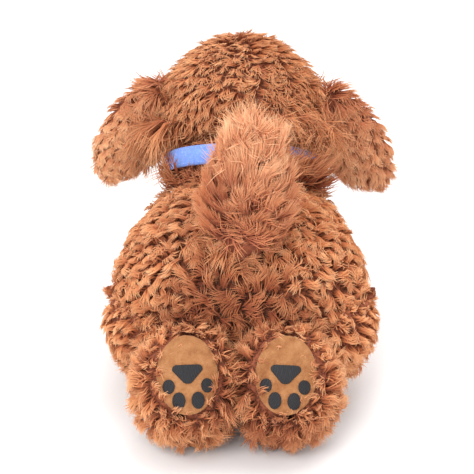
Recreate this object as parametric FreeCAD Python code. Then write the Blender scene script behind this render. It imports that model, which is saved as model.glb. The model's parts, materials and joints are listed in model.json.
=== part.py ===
"""Interactive plush toy dog that lies on its belly: a curly-pile skin over a plastic case that holds the
batteries, the speaker, the circuit board and three small geared motors, one each for head turn, nod and tail.

Frame: millimetres, +Z up, -Y towards the dog's nose, +X the dog's left. The origin is on the floor, under the
middle of the body. Soft pieces are plain closed solids as large as the tips of their pile.
"""
import FreeCAD
import Part

import math
import os

V = FreeCAD.Vector
X_AXIS = V(1, 0, 0)
Y_AXIS = V(0, 1, 0)
Z_AXIS = V(0, 0, 1)

# ---- fits and clearances ----
SOFT_GAP = 0.5          # between soft pieces that move past each other
SLIP = 0.3              # between a loose rigid piece and its pocket
RUN = 0.05              # radial, on every shaft that turns in a bore
BACKLASH = 0.12         # taken off each gear tooth along the pitch circle

# ---- torso: sections along Y, each (y, centre height, half width, half height) ----
TORSO_SECTIONS = [
    (112, 52, 30, 30),
    (100, 56, 60, 52),
    (75, 61, 84, 66),
    (40, 64, 88, 69),
    (0, 63, 83, 68),
    (-40, 61, 76, 63),
    (-75, 58, 67, 57),
    (-105, 54, 48, 45),
    (-116, 52, 28, 28),
]
SECTION_POWER = 2.25    # superellipse exponent: 2 is an ellipse, larger is squarer
SECTION_POINTS = 20
SKIN = 9.0              # backing cloth and pile of the torso skin
FLOOR_BOX = 400.0

# ---- limbs ----
THIGH_AT = (56, 58, 58)
THIGH_LENGTH = 52.0     # half length along the leg
THIGH_RADIUS = 40.0
THIGH_SPLAY = 10.0      # degrees the thigh turns outwards towards the knee
FOOT_OUT = {"left": 34.0, "right": 31.0}        # the right foot lies nearer the middle
FOOT_BACK = 130.0
FOOT_HEIGHT = 42.0
FOOT_HALF = (38, 31, 42)
SOLE_TILT = 36.0        # degrees the sole's outward normal rises above the floor
SOLE_TURN = 5.0         # degrees the sole turns towards the other foot
SOLE_DEPTH = 29.0       # from the foot's centre out to the sole's plane
SOLE_RISE = 7.0         # from there up along the sole to the middle of the patch
SOLE_HALF_WIDTH = 19.5
SOLE_HALF_HEIGHT = 25.0
SOLE_MARGIN = 3.0       # plush of the foot round the patch
PATCH_THICK = 1.6
STITCH_THICK = 0.9
PAD_WIDTH = 19.0
PAD_HEIGHT = 12.0
TOES = [(-12.0, 7.2, 3.9, 4.5), (-6.0, 16.2, 4.2, 5.3), (6.0, 16.2, 4.2, 5.3), (12.0, 7.2, 3.9, 4.5)]
FRONT_LEG_AT = (42, -70, 25)
FRONT_LEG_RADIUS = 26.0
FRONT_LEG_LENGTH = 98.0
LEG_GAP = 0.4           # half the gap where left and right limbs meet

# ---- neck and head: the neck frame has its origin at the pivot and +Z up the neck ----
PIVOT = (0, -62, 116)
NECK_LEAN = 32.0        # degrees the neck leans forwards
NECK_BALL = 46.0
NECK_RADIUS = 53.5
NECK_LOW = -26.0
NECK_BORE = 34.0
COLLAR_LOW = -6.0
COLLAR_WIDTH = 14.0
COLLAR_THICK = 2.4
BUCKLE_OUT = 3.0        # the buckle stands this far out of the band
BUCKLE_HALF = 12.0
TURN_RANGE = 25.0       # head turn each way
NOD_UP = 6.0
NOD_DOWN = 12.0
NOD_SPARE = 1.5         # degrees left between head and collar at the end of a nod
TORSO_SLOPE = 6.0       # degrees that the torso may rise above the collar's plane
HEAD_UP_NECK = 40.0     # from the pivot to the head's centre
HEAD_RADIUS = 60.0
MUZZLE_AT = (0, -136, 129)
MUZZLE_HALF = (32, 30, 24)
SKULL_RADIUS = 42.0
SKULL_WALL = 2.4

# ---- face ----
EYE_AT = (24, -141, 158)
EYE_RADIUS = 7.0
NOSE_AT = (0, -162, 137)
NOSE_HALF = (9, 6, 7)

# ---- ears: (side, root height, droop angle) ----
EAR_STAND = 1.5         # from the head to the ear's fold line
EAR_HINGE_HEIGHT = {"left": 172.0, "right": 166.0}
EAR_DROOP = {"left": 31.5, "right": 32.0}       # degrees from hanging straight down
EAR_HALF = (26, 15, 49)
EAR_LIFT = 60.0

# ---- tail ----
TAIL_PIVOT = (0, 82, 104)
TAIL_LEAN = 12.0        # degrees forwards
TAIL_REST = 6.0         # degrees to the dog's right, where the wag has stopped
TAIL_WAG = 20.0         # degrees each way from upright
TAIL_RADIUS = 32.0
TAIL_HALF_LENGTH = 50.0
TAIL_CENTRE_UP = 62.0   # from the tail pivot to the middle of the plume
TAIL_ROOT_RADIUS = 10.0
TAIL_BARE = 28.0        # length of the root between the pivot and the plume
TAIL_ROD_RADIUS = 4.0
TAIL_ROD_LENGTH = 88.0
TAIL_SECTOR_HALF = 30.0     # degrees of the sector each side of its middle

# ---- plastic case ----
CASE_HALF_WIDTH = 36.0
CASE_FRONT = -60.0
CASE_BACK = 94.0
CASE_FLOOR = 3.0
CASE_SPLIT = 40.0
CASE_TOP = 84.0
CASE_WALL = 2.2
TURRET_TOP = -38.0      # along the neck, where the case's sloping top lies
TURRET_HALF = 24.0
BELLY_HALF_WIDTH = 33.0
BELLY_FRONT = -46.0
BELLY_BACK = 76.0
BOSS_RADIUS = 4.0
SCREW_RADIUS = 1.5

# ---- batteries, AA size ----
CELL_RADIUS = 7.2
CELL_LENGTH = 50.0
CELL_PITCH = 16.0
CELL_HEIGHT = 11.0
BAY_FRONT = -41.0
BAY_BACK = 9.0
BAY_HALF_WIDTH = 29.0
BAY_ROOF = 21.0
BAY_WALL = 1.6
DOOR_THICK = 2.0
DOOR_GAP = 0.2

# ---- gears: module 1, 25 degree stub teeth ----
MODULE = 1.0
PRESSURE = math.radians(25)
ADDENDUM = 0.8
DEDENDUM = 1.0
PINION_TEETH = 12
SMALL_TEETH = 12
LARGE_TEETH = 36
SECTOR_TEETH = 48
GEAR_WIDTH = 4.0
AXLE = 1.5
SHAFT = 2.5

# ---- small electrics ----
MOTOR_RADIUS = 8.0
MOTOR_LENGTH = 22.0
MOTOR_SHAFT = 1.0
MOTOR_GAP = 3.0         # from the motor's face to its pinion
MOTOR_GRIP = 4.0        # length of shaft inside the motor
MOTOR_NOSE = 3.0
DRIVE_DROP = 8.0        # the neck's drive gear lies this far under the turret's top
SPEAKER_AT = (0, 40)
SPEAKER_RADIUS = 19.0
BOARD_TOP = 26.0
BOARD_POSTS = [(24, -36), (-24, -36), (24, 4), (-24, 4)]
SCREW_SPOTS = [(31, -54), (-31, -54), (31, 84), (-31, 84)]
SCREW_HEAD = 2.8
GRILLE_RADIUS = 15.0
GRILLE_PITCH = 4.5
SPRING_WIRE = 0.45
SPRING_LINK = 0.3       # radius of the wire between two turns of a contact spring
SPRING_TURNS = 4
CONTACT_THICK = 0.5

# ---- touch buttons and the power switch ----
BACK_BUTTON = (0, 22, 112)
BUTTON_HOUSING = 7.0
BUTTON_RADIUS = 4.0
BUTTON_CAP = 5.5
BUTTON_TRAVEL = 1.5
BUTTON_FLOOR = 1.5
HOUSING_HEIGHT = 5.0
SWITCH_Y = 16.5
SWITCH_TRAVEL = 5.0
KNOB_HALF = 2.5

# ---- nod mechanism, in the neck frame ----
LUG_INNER = 17.5
LUG_THICK = 3.0
YOKE_LEVEL = 38.0
NOD_PLANE = 10.0        # where the nod gears start along X
NOD_CENTRES = MODULE * (LARGE_TEETH + PINION_TEETH) / 2
POST_RADIUS = 6.0
TURRET_RADIUS = 12.0

# ---- tail gearbox ----
GEARBOX_HALF = 13.0
GEARBOX_WALL = 2.0
GEARBOX_FOOT = 2.0
GEARBOX_BACK = TAIL_PIVOT[1] + 7.0
SECTOR_PLANE = TAIL_PIVOT[1] - 2.0      # where the sector and the small gear start along Y
LARGE_PLANE = SECTOR_PLANE - GEAR_WIDTH - 1.5
GEARBOX_FRONT = LARGE_PLANE - MOTOR_GAP
GEARBOX_TOP = TAIL_PIVOT[2] + SHAFT + 3.5
IDLER_HEIGHT = TAIL_PIVOT[2] - MODULE * (SECTOR_TEETH + SMALL_TEETH) / 2
MOTOR_HEIGHT = IDLER_HEIGHT - MODULE * (LARGE_TEETH + PINION_TEETH) / 2
GEARBOX_LOW = MOTOR_HEIGHT - 10.0


def box(low, high):
    """A box from its lowest to its highest corner."""
    size = [h - l for l, h in zip(low, high)]
    return Part.makeBox(*size, V(*low))


def rod(start, direction, radius, length):
    return Part.makeCylinder(radius, length, V(*start), V(*direction))


def ellipsoid(centre, half):
    """An ellipsoid with three half sizes."""
    matrix = FreeCAD.Matrix()
    matrix.scale(*half)
    shape = Part.makeSphere(1.0).transformGeometry(matrix)
    shape.translate(V(*centre))
    return shape


def turned(shape, centre, axis, degrees):
    copy = shape.copy()
    copy.rotate(V(*centre), axis, degrees)
    return copy


def to_neck(shape):
    """From the neck frame to the dog's own frame."""
    copy = turned(shape, (0, 0, 0), X_AXIS, NECK_LEAN)
    copy.translate(V(*PIVOT))
    return copy


def neck_point(x, y, z):
    """A point of the neck frame, in the dog's own frame."""
    lean = math.radians(NECK_LEAN)
    return (PIVOT[0] + x,
            PIVOT[1] + y * math.cos(lean) - z * math.sin(lean),
            PIVOT[2] + y * math.sin(lean) + z * math.cos(lean))


def ring_profile(points):
    """The solid swept by a closed outline of (radius, height) points about +Z."""
    outline = [V(r, 0, z) for r, z in points]
    face = Part.Face(Part.makePolygon(outline + outline[:1]))
    return face.revolve(V(0, 0, 0), Z_AXIS, 360)


def mirrored(shape):
    """The same piece on the dog's right."""
    return shape.mirror(V(0, 0, 0), X_AXIS)


def solids_of(shape):
    return Part.makeCompound(shape.Solids)


# ---------------------------------------------------------------- soft pieces

def torso_body(inset):
    """The torso's outer shape, or the same shape inset all round."""
    wires = []
    for y, height, half_width, half_height in TORSO_SECTIONS:
        ends = (TORSO_SECTIONS[0][0], TORSO_SECTIONS[-1][0])
        shift = 0
        if y == ends[0]:
            shift = -inset
        if y == ends[1]:
            shift = inset
        points = []
        for k in range(SECTION_POINTS):
            angle = 2 * math.pi * k / SECTION_POINTS
            c, s = math.cos(angle), math.sin(angle)
            px = (half_width - inset) * math.copysign(abs(c) ** (2 / SECTION_POWER), c)
            pz = (half_height - inset) * math.copysign(abs(s) ** (2 / SECTION_POWER), s)
            points.append(V(px, y + shift, height + pz))
        curve = Part.BSplineCurve()
        curve.interpolate(points, PeriodicFlag=True)
        wires.append(Part.Wire(curve.toShape()))
    body = Part.makeLoft(wires, True, False)
    floor = box((-FLOOR_BOX, -FLOOR_BOX, -FLOOR_BOX), (FLOOR_BOX, FLOOR_BOX, 0))
    return body.cut(floor)


def neck_clearance():
    """What the torso leaves free for the neck, the collar and the head's sweep, as a list of cutters."""
    outer = NECK_RADIUS + SOFT_GAP
    room = math.hypot(NECK_RADIUS + COLLAR_THICK + BUCKLE_OUT, BUCKLE_HALF) + SOFT_GAP
    reach = FLOOR_BOX
    rise = reach * math.tan(math.radians(TORSO_SLOPE))
    return [to_neck(tool) for tool in (
        Part.makeCylinder(outer, reach, V(0, 0, NECK_LOW - SOFT_GAP)),
        Part.makeCylinder(room, reach, V(0, 0, COLLAR_LOW - SOFT_GAP)),
        Part.makeCone(0, reach, rise),
        Part.makeCylinder(reach, reach, V(0, 0, rise)))]


def cut_each(shape, tools):
    """Cuts one tool after another, which keeps each cut a simple one."""
    for tool in tools:
        shape = shape.cut(tool)
    return shape


def case_envelope(gap):
    """The case's outer shape with a gap round it, as a solid block."""
    low = extrude_profile(case_profile(gap), CASE_HALF_WIDTH + gap)
    belly = box((-BELLY_HALF_WIDTH - gap, BELLY_FRONT - gap, -1),
                (BELLY_HALF_WIDTH + gap, BELLY_BACK + gap, CASE_FLOOR + 1))
    return low.fuse(belly)


def tail_slot():
    """Room in the torso for the sector gear, the tail shaft and the swing of the tail's root."""
    x, y, z = TAIL_PIVOT
    reach = math.radians(TAIL_WAG)
    half = TAIL_ROOT_RADIUS * math.cos(reach) + 32 * math.sin(reach) + 1
    slot = box((x - half, y - 16, CASE_TOP - 1), (x + half, y + TAIL_ROOT_RADIUS + 3, z + 40))
    frame = box((x - GEARBOX_HALF - SLIP, GEARBOX_FRONT - SLIP, CASE_TOP - 1),
                (x + GEARBOX_HALF + SLIP, GEARBOX_BACK + SLIP, GEARBOX_TOP + SLIP))
    return slot.fuse(frame)


def back_button_well():
    x, y, z = BACK_BUTTON
    return rod((x, y, CASE_TOP - 1), (0, 0, 1), BUTTON_HOUSING + SLIP, z + 6 - CASE_TOP)


def torso_pieces():
    outer = torso_body(0)
    inner = torso_body(SKIN)
    neck_hole = to_neck(Part.makeCylinder(NECK_BORE, 14, V(0, 0, NECK_LOW - 13)))
    away = neck_clearance() + [case_envelope(SLIP), neck_hole, tail_slot(), back_button_well()]
    stuffing = cut_each(inner, away)
    skin = cut_each(outer, away).cut(stuffing)
    return {"torso_skin": solids_of(skin), "torso_stuffing": solids_of(stuffing)}


def ball_of_neck():
    """Spherical top of the neck from the collar up to the bore, as points of a circle."""
    start = math.asin((COLLAR_LOW + COLLAR_WIDTH) / NECK_BALL)
    end = math.acos(NECK_BORE / NECK_BALL)
    return start, end


def neck_piece():
    start, end = ball_of_neck()

    def on_ball(angle):
        return V(NECK_BALL * math.cos(angle), 0, NECK_BALL * math.sin(angle))

    shoulder = COLLAR_LOW + COLLAR_WIDTH
    arc = Part.Arc(on_ball(start), on_ball((start + end) / 2), on_ball(end)).toShape()
    straight = Part.makePolygon([on_ball(end), V(NECK_BORE, 0, NECK_LOW), V(NECK_RADIUS, 0, NECK_LOW),
                                 V(NECK_RADIUS, 0, shoulder), on_ball(start)])
    face = Part.Face(Part.Wire([arc] + straight.Edges))
    return to_neck(face.revolve(V(0, 0, 0), Z_AXIS, 360))


def collar_pieces():
    inner = NECK_RADIUS
    outer = inner + COLLAR_THICK
    top = COLLAR_LOW + COLLAR_WIDTH
    band = ring_profile([(inner, COLLAR_LOW), (outer, COLLAR_LOW), (outer, top), (inner, top)])
    # The buckle is a flat frame on the band at the throat, with the tongue across it.
    frame = box((-BUCKLE_HALF, -outer - BUCKLE_OUT + 0.2, COLLAR_LOW), (BUCKLE_HALF, -outer + 2, top))
    window = BUCKLE_HALF - 4
    frame = frame.cut(box((-window, -outer - 4, COLLAR_LOW + 3), (window, -outer + 3, top - 3)))
    tongue = box((-window, -outer - 2, COLLAR_LOW + 6), (window, -outer + 2, COLLAR_LOW + 8))
    buckle = frame.fuse(tongue)
    round_band = Part.makeCylinder(outer, COLLAR_WIDTH, V(0, 0, COLLAR_LOW))
    buckle = buckle.cut(round_band)
    return {"collar_band": to_neck(band), "collar_buckle": solids_of(to_neck(buckle))}


def hind_leg(torso, side):
    """A thigh and foot in one stuffed limb, cut where it is sewn to the torso, as a left leg."""
    thigh = ellipsoid((0, 0, 0), (THIGH_RADIUS, THIGH_LENGTH, THIGH_RADIUS))
    thigh = turned(thigh, (0, 0, 0), Z_AXIS, -THIGH_SPLAY)
    thigh.translate(V(*THIGH_AT))
    foot = ellipsoid((FOOT_OUT[side], FOOT_BACK, FOOT_HEIGHT), FOOT_HALF)
    far = FLOOR_BOX
    floor = box((-far, -far, -far), (far, far, 0))
    middle = box((-far, -far, -far), (LEG_GAP, far, far))
    beyond_sole = on_sole(box((-far, -far, 0), (far, far, far)), side)
    cuff = on_sole(oval((0, 0), SOLE_HALF_WIDTH + SOLE_MARGIN, SOLE_HALF_HEIGHT + SOLE_MARGIN,
                        -SOLE_DEPTH / 2, SOLE_DEPTH / 2), side)
    limb = thigh.fuse(foot).fuse(cuff).cut(torso).cut(floor).cut(middle).cut(beyond_sole)
    return sorted(limb.Solids, key=lambda s: s.Volume)[-1]


def on_sole(shape, side):
    """From the sole's own frame, +Z out of the sole and +Y towards the toes, to a foot, as a left one."""
    copy = turned(shape, (0, 0, 0), X_AXIS, SOLE_TILT - 90)
    copy = turned(copy, (0, 0, 0), Z_AXIS, SOLE_TURN)
    tilt = math.radians(SOLE_TILT)
    turn = math.radians(SOLE_TURN)
    out = V(-math.cos(tilt) * math.sin(turn), math.cos(tilt) * math.cos(turn), math.sin(tilt))
    up = V(math.sin(tilt) * math.sin(turn), -math.sin(tilt) * math.cos(turn), math.cos(tilt))
    copy.translate(V(FOOT_OUT[side], FOOT_BACK, FOOT_HEIGHT) + out * SOLE_DEPTH + up * SOLE_RISE)
    return copy


def oval(centre, half_width, half_height, low, thick):
    """A flat oval plate in the sole's frame."""
    matrix = FreeCAD.Matrix()
    matrix.scale(half_width, half_height, 1)
    plate = Part.makeCylinder(1.0, thick).transformGeometry(matrix)
    plate.translate(V(centre[0], centre[1], low))
    return plate


def rounded_triangle(centre, width, height, low, thick):
    """The paw's main pad: a broad edge towards the heel and a blunt point towards the toes."""
    corners = [(-0.5, -0.2), (-0.35, -0.5), (0.35, -0.5), (0.5, -0.2), (0.15, 0.42), (-0.15, 0.42)]
    swells = [(-0.47, -0.42), None, (0.47, -0.42), None, (0.0, 0.5), None]
    at = [V(centre[0] + u * width, centre[1] + v * height, low) for u, v in corners]
    edges = []
    for k, swell in enumerate(swells):
        start, end = at[k], at[(k + 1) % len(at)]
        if swell is None:
            edges.append(Part.makeLine(start, end))
            continue
        middle = V(centre[0] + swell[0] * width, centre[1] + swell[1] * height, low)
        edges.append(Part.Arc(start, middle, end).toShape())
    return Part.Face(Part.Wire(edges)).extrude(V(0, 0, thick))


def sole_pieces(side):
    """The tan sole patch and the five embroidered pads on it."""
    patch = oval((0, 0), SOLE_HALF_WIDTH, SOLE_HALF_HEIGHT, 0, PATCH_THICK)
    pads = [rounded_triangle((0, 0), PAD_WIDTH, PAD_HEIGHT, PATCH_THICK, STITCH_THICK)]
    for x, y, half_width, half_height in TOES:
        pads.append(oval((x, y), half_width, half_height, PATCH_THICK, STITCH_THICK))
    return on_sole(patch, side), on_sole(Part.makeCompound(pads), side)


def front_leg(torso):
    x, y, z = FRONT_LEG_AT
    straight = FRONT_LEG_LENGTH - FRONT_LEG_RADIUS
    leg = rod((x, y, z), (0, -1, 0), FRONT_LEG_RADIUS, straight)
    leg = leg.fuse(Part.makeSphere(FRONT_LEG_RADIUS, V(x, y - straight, z)))
    far = FLOOR_BOX
    leg = leg.cut(torso).cut(box((-far, -far, -far), (far, far, 0)))
    return sorted(leg.Solids, key=lambda s: s.Volume)[-1]


# ---------------------------------------------------------------- head

def head_centre():
    return neck_point(0, 0, HEAD_UP_NECK)


def head_outside(grow):
    """The head with its muzzle, grown by a gap where other pieces are cut to clear it."""
    muzzle = ellipsoid(MUZZLE_AT, [h + grow for h in MUZZLE_HALF])
    return Part.makeSphere(HEAD_RADIUS + grow, V(*head_centre())).fuse(muzzle)


def head_room():
    """Above this cone the head clears the collar, so that it can nod both ways at any turn."""
    middle = (NOD_DOWN - NOD_UP) / 2
    half = (NOD_DOWN + NOD_UP) / 2
    top = COLLAR_LOW + COLLAR_WIDTH
    collar_edge = math.degrees(math.atan2(top, NECK_RADIUS))
    reach = FLOOR_BOX
    cone = Part.makeCone(0, reach, reach * math.tan(math.radians(collar_edge + half + NOD_SPARE)))
    return to_neck(turned(cone, (0, 0, 0), X_AXIS, -middle))


def head_skin():
    ball = Part.makeSphere(NECK_BALL + SOFT_GAP, V(*PIVOT))
    skull = Part.makeSphere(SKULL_RADIUS, V(*neck_point(0, 0, HEAD_UP_NECK)))
    skin = head_outside(0).common(head_room()).cut(ball).cut(skull)
    skin = skin.cut(head_button_well())
    for side in (1, -1):
        skin = skin.cut(eye(side, SLIP / 3)).cut(eye_stem(side))
    skin = skin.cut(nose())
    return sorted(skin.Solids, key=lambda s: s.Volume)[-1]


def eye(side, grow=0.0):
    """A domed eye, seen as a half ball in the pile, with its flat back in the head."""
    x, y, z = EYE_AT
    return Part.makeSphere(EYE_RADIUS + grow, V(side * x, y, z))


def eye_stem(side):
    x, y, z = EYE_AT
    centre = V(*head_centre())
    inwards = (centre - V(side * x, y, z)).normalize()
    start = V(side * x, y, z) + inwards * (EYE_RADIUS - 1)
    return Part.makeCylinder(2.0, 9, start, inwards)


def nose():
    return ellipsoid(NOSE_AT, NOSE_HALF)


def head_button_well():
    """Pocket in the head's stuffing for the touch button on top of the skull."""
    top = HEAD_UP_NECK + SKULL_RADIUS
    return to_neck(Part.makeCylinder(BUTTON_HOUSING + SLIP, 8, V(0, 0, top - 3)))


def skull_pieces():
    """Two skull halves, split fore and aft, closed above the neck's ball and open below."""
    centre = V(0, 0, HEAD_UP_NECK)
    shell = Part.makeSphere(SKULL_RADIUS, centre).cut(Part.makeSphere(SKULL_RADIUS - SKULL_WALL, centre))
    shell = shell.cut(Part.makeSphere(NECK_BALL + 1.0, V(0, 0, 0)))
    shell = shell.cut(Part.makeCylinder(BUTTON_HOUSING + SLIP, 8, V(0, 0, HEAD_UP_NECK + SKULL_RADIUS - 5)))
    far = 100
    front = shell.common(box((-far, -far, -far), (far, 0, far)))
    back = shell.common(box((-far, 0, -far), (far, far, far)))
    return {"skull_front": solids_of(to_neck(front)), "skull_back": solids_of(to_neck(back))}


def head_frame_piece():
    """The yoke that hangs the head on the nod axle: a plate across the skull and a lug each side."""
    level = YOKE_LEVEL
    inside = SKULL_RADIUS - SKULL_WALL
    lowest = max(abs(HEAD_UP_NECK - level), abs(level + 3 - HEAD_UP_NECK))
    plate = Part.makeCylinder(math.sqrt(inside ** 2 - lowest ** 2) - SLIP, 3, V(0, 0, level))
    yoke = plate
    for side in (1, -1):
        near, far = sorted((side * LUG_INNER, side * (LUG_INNER + LUG_THICK)))
        lug = box((near, -7, 0), (far, 7, level + 1))
        lug = lug.fuse(Part.makeCylinder(7, LUG_THICK, V(near, 0, 0), X_AXIS))
        yoke = yoke.fuse(lug)
    yoke = yoke.cut(Part.makeCylinder(SHAFT + RUN, 80, V(-40, 0, 0), X_AXIS))
    # The motor hangs from the plate in a short saddle.
    saddle = box((-12, -6, NOD_CENTRES + MOTOR_RADIUS - 3), (6, 6, level + 1))
    saddle = saddle.cut(Part.makeCylinder(MOTOR_RADIUS, 60, V(-30, 0, NOD_CENTRES), X_AXIS))
    return to_neck(yoke.fuse(saddle))


def neck_pieces():
    """The turning neck: its post with the drive gear below and the hub of the nod axle above."""
    post = Part.makeCylinder(POST_RADIUS, -TURRET_TOP - 6 + DRIVE_DROP, V(0, 0, TURRET_TOP - DRIVE_DROP))
    hub = box((-8, -8, -12), (8, 8, 6)).fuse(Part.makeCylinder(10, 2, V(0, 0, TURRET_TOP + 10 + SLIP)))
    post = post.fuse(hub).cut(Part.makeCylinder(SHAFT, 60, V(-30, 0, 0), X_AXIS))
    drive = gear(LARGE_TEETH, GEAR_WIDTH, POST_RADIUS, 0.0)
    drive.translate(V(0, 0, TURRET_TOP - DRIVE_DROP))
    axle = Part.makeCylinder(SHAFT, 2 * (LUG_INNER + 4.5), V(-LUG_INNER - 4.5, 0, 0), X_AXIS)
    sector = gear(LARGE_TEETH, GEAR_WIDTH, SHAFT, 0.0)
    sector = sector.common(wedge(90, 62, LARGE_TEETH)).fuse(
        Part.makeCylinder(6, GEAR_WIDTH).cut(Part.makeCylinder(SHAFT, GEAR_WIDTH)))
    sector = across_x(sector, NOD_PLANE)
    spacer = Part.makeCylinder(5, NOD_PLANE - 8, V(8, 0, 0), X_AXIS).cut(
        Part.makeCylinder(SHAFT, 60, V(-30, 0, 0), X_AXIS))
    return {"neck_post": to_neck(post), "neck_drive_gear": to_neck(drive), "nod_axle": to_neck(axle),
            "nod_fixed_sector": to_neck(sector.fuse(spacer))}


def across_x(shape, start):
    """Turns a gear made about +Z so that its axis runs along +X, with its own +Y pointing up."""
    copy = turned(shape, (0, 0, 0), V(1, 1, 1), 120)
    copy.translate(V(start, 0, 0))
    return copy


def nod_drive():
    """Motor and pinion that walk round the fixed sector and so nod the head."""
    motor, pinion = motor_and_pinion(meshing_phase(LARGE_TEETH, PINION_TEETH, 0.0, 90))
    nodes = {}
    for name, shape in (("nod_motor", motor), ("nod_pinion", pinion)):
        shape = across_x(shape, NOD_PLANE)
        shape.translate(V(0, 0, NOD_CENTRES))
        nodes[name] = to_neck(shape)
    return nodes


def turn_drive():
    """Motor and pinion that turn the neck, beside the post."""
    centres = MODULE * (LARGE_TEETH + PINION_TEETH) / 2
    motor, pinion = motor_and_pinion(meshing_phase(LARGE_TEETH, PINION_TEETH, 0.0, 0))
    nodes = {}
    for name, shape in (("turn_motor", motor), ("turn_pinion", pinion)):
        shape.translate(V(centres, 0, TURRET_TOP - DRIVE_DROP))
        nodes[name] = to_neck(shape)
    return nodes


def motor_and_pinion(phase):
    """A small motor under a pinion on its shaft, about +Z with the pinion's lower face at zero."""
    can = Part.makeCylinder(MOTOR_RADIUS, MOTOR_LENGTH, V(0, 0, -MOTOR_GAP - MOTOR_LENGTH))
    can = can.fuse(Part.makeCylinder(MOTOR_NOSE, MOTOR_GAP - SLIP, V(0, 0, -MOTOR_GAP)))
    bore_end = -MOTOR_GAP - MOTOR_GRIP - SLIP
    can = can.cut(Part.makeCylinder(MOTOR_SHAFT + RUN, -bore_end, V(0, 0, bore_end)))
    pinion = gear(PINION_TEETH, GEAR_WIDTH, MOTOR_SHAFT, phase)
    pinion = pinion.fuse(Part.makeCylinder(MOTOR_SHAFT, GEAR_WIDTH + MOTOR_GAP + MOTOR_GRIP + 0.5,
                                           V(0, 0, -MOTOR_GAP - MOTOR_GRIP)))
    return can, pinion


def ear(side):
    """A flat stuffed flap that hangs from its seam on the side of the head."""
    sign = 1 if side == "left" else -1
    hinge = ear_hinge(side)
    droop = EAR_DROOP[side]
    flap = ellipsoid((0, 0, -EAR_HALF[2] + 6), EAR_HALF)
    flap = flap.cut(box((-60, -60, 0), (60, 60, 60)))
    flap = turned(flap, (0, 0, 0), Y_AXIS, -sign * droop)
    flap.translate(V(*hinge))
    head = Part.makeSphere(HEAD_RADIUS + SOFT_GAP, V(*head_centre()))
    for lift in (0.0, EAR_LIFT / 2, EAR_LIFT):
        flap = flap.cut(turned(head, hinge, Y_AXIS, sign * lift))
    return sorted(flap.Solids, key=lambda s: s.Volume)[-1]


def ear_hinge(side):
    """The middle of the fold line where the ear is sewn to the head, just off the head's side."""
    sign = 1 if side == "left" else -1
    middle = head_centre()
    rise = EAR_HINGE_HEIGHT[side] - middle[2]
    return (sign * (math.sqrt(HEAD_RADIUS ** 2 - rise ** 2) + EAR_STAND), middle[1], EAR_HINGE_HEIGHT[side])


# ---------------------------------------------------------------- gears

def gear(teeth, width, bore, phase):
    """A spur gear about +Z with a tooth centred at the phase angle, in degrees."""
    pitch = MODULE * teeth / 2
    base = pitch * math.cos(PRESSURE)
    tip = pitch + ADDENDUM * MODULE
    root = pitch - DEDENDUM * MODULE
    involute = math.tan(PRESSURE) - PRESSURE
    half_pitch = math.pi / (2 * teeth) - BACKLASH / 2 / pitch

    def half_angle(radius):
        slope = math.acos(min(1.0, base / radius))
        return half_pitch + involute - (math.tan(slope) - slope)

    def at(radius, angle):
        return V(radius * math.cos(angle), radius * math.sin(angle), 0)

    foot = max(root, base)
    radii = [root] if root >= base else [root, base]
    radii += [foot + (tip - foot) * k / 3 for k in (1, 2, 3)]
    points = []
    for k in range(teeth):
        middle = math.radians(phase) + 2 * math.pi * k / teeth
        points += [at(r, middle - half_angle(max(r, base))) for r in radii]
        points += [at(r, middle + half_angle(max(r, base))) for r in reversed(radii)]
    disc = Part.Face(Part.makePolygon(points + points[:1])).extrude(V(0, 0, width))
    return disc.cut(Part.makeCylinder(bore, width))


def meshing_phase(teeth, mate_teeth, phase, direction):
    """The phase of a gear that stands from its mate in that direction, so that a gap meets a tooth."""
    offset = (direction - phase) / (360 / teeth)
    ahead = offset - math.floor(offset)
    return direction + 180 + (0.5 + ahead) * 360 / mate_teeth


def wedge(middle, half, teeth):
    """A tall slice between two angles, out past a gear's teeth."""
    reach = MODULE * teeth
    edge = [V(0, 0, -1)]
    for k in range(-2, 3):
        angle = math.radians(middle + half * k / 2)
        edge.append(V(reach * math.cos(angle), reach * math.sin(angle), -1))
    return Part.Face(Part.makePolygon(edge + edge[:1])).extrude(V(0, 0, GEAR_WIDTH + 2))


# ---------------------------------------------------------------- tail

def along_y(shape, y, z):
    """Turns a gear made about +Z so that its axis runs along +Y, with its own +Y pointing down."""
    copy = turned(shape, (0, 0, 0), X_AXIS, -90)
    copy.translate(V(0, y, z))
    return copy


def tail_rest(shape):
    """Leans a tail piece to where the wag has stopped."""
    return turned(shape, TAIL_PIVOT, Y_AXIS, -TAIL_REST)


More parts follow.
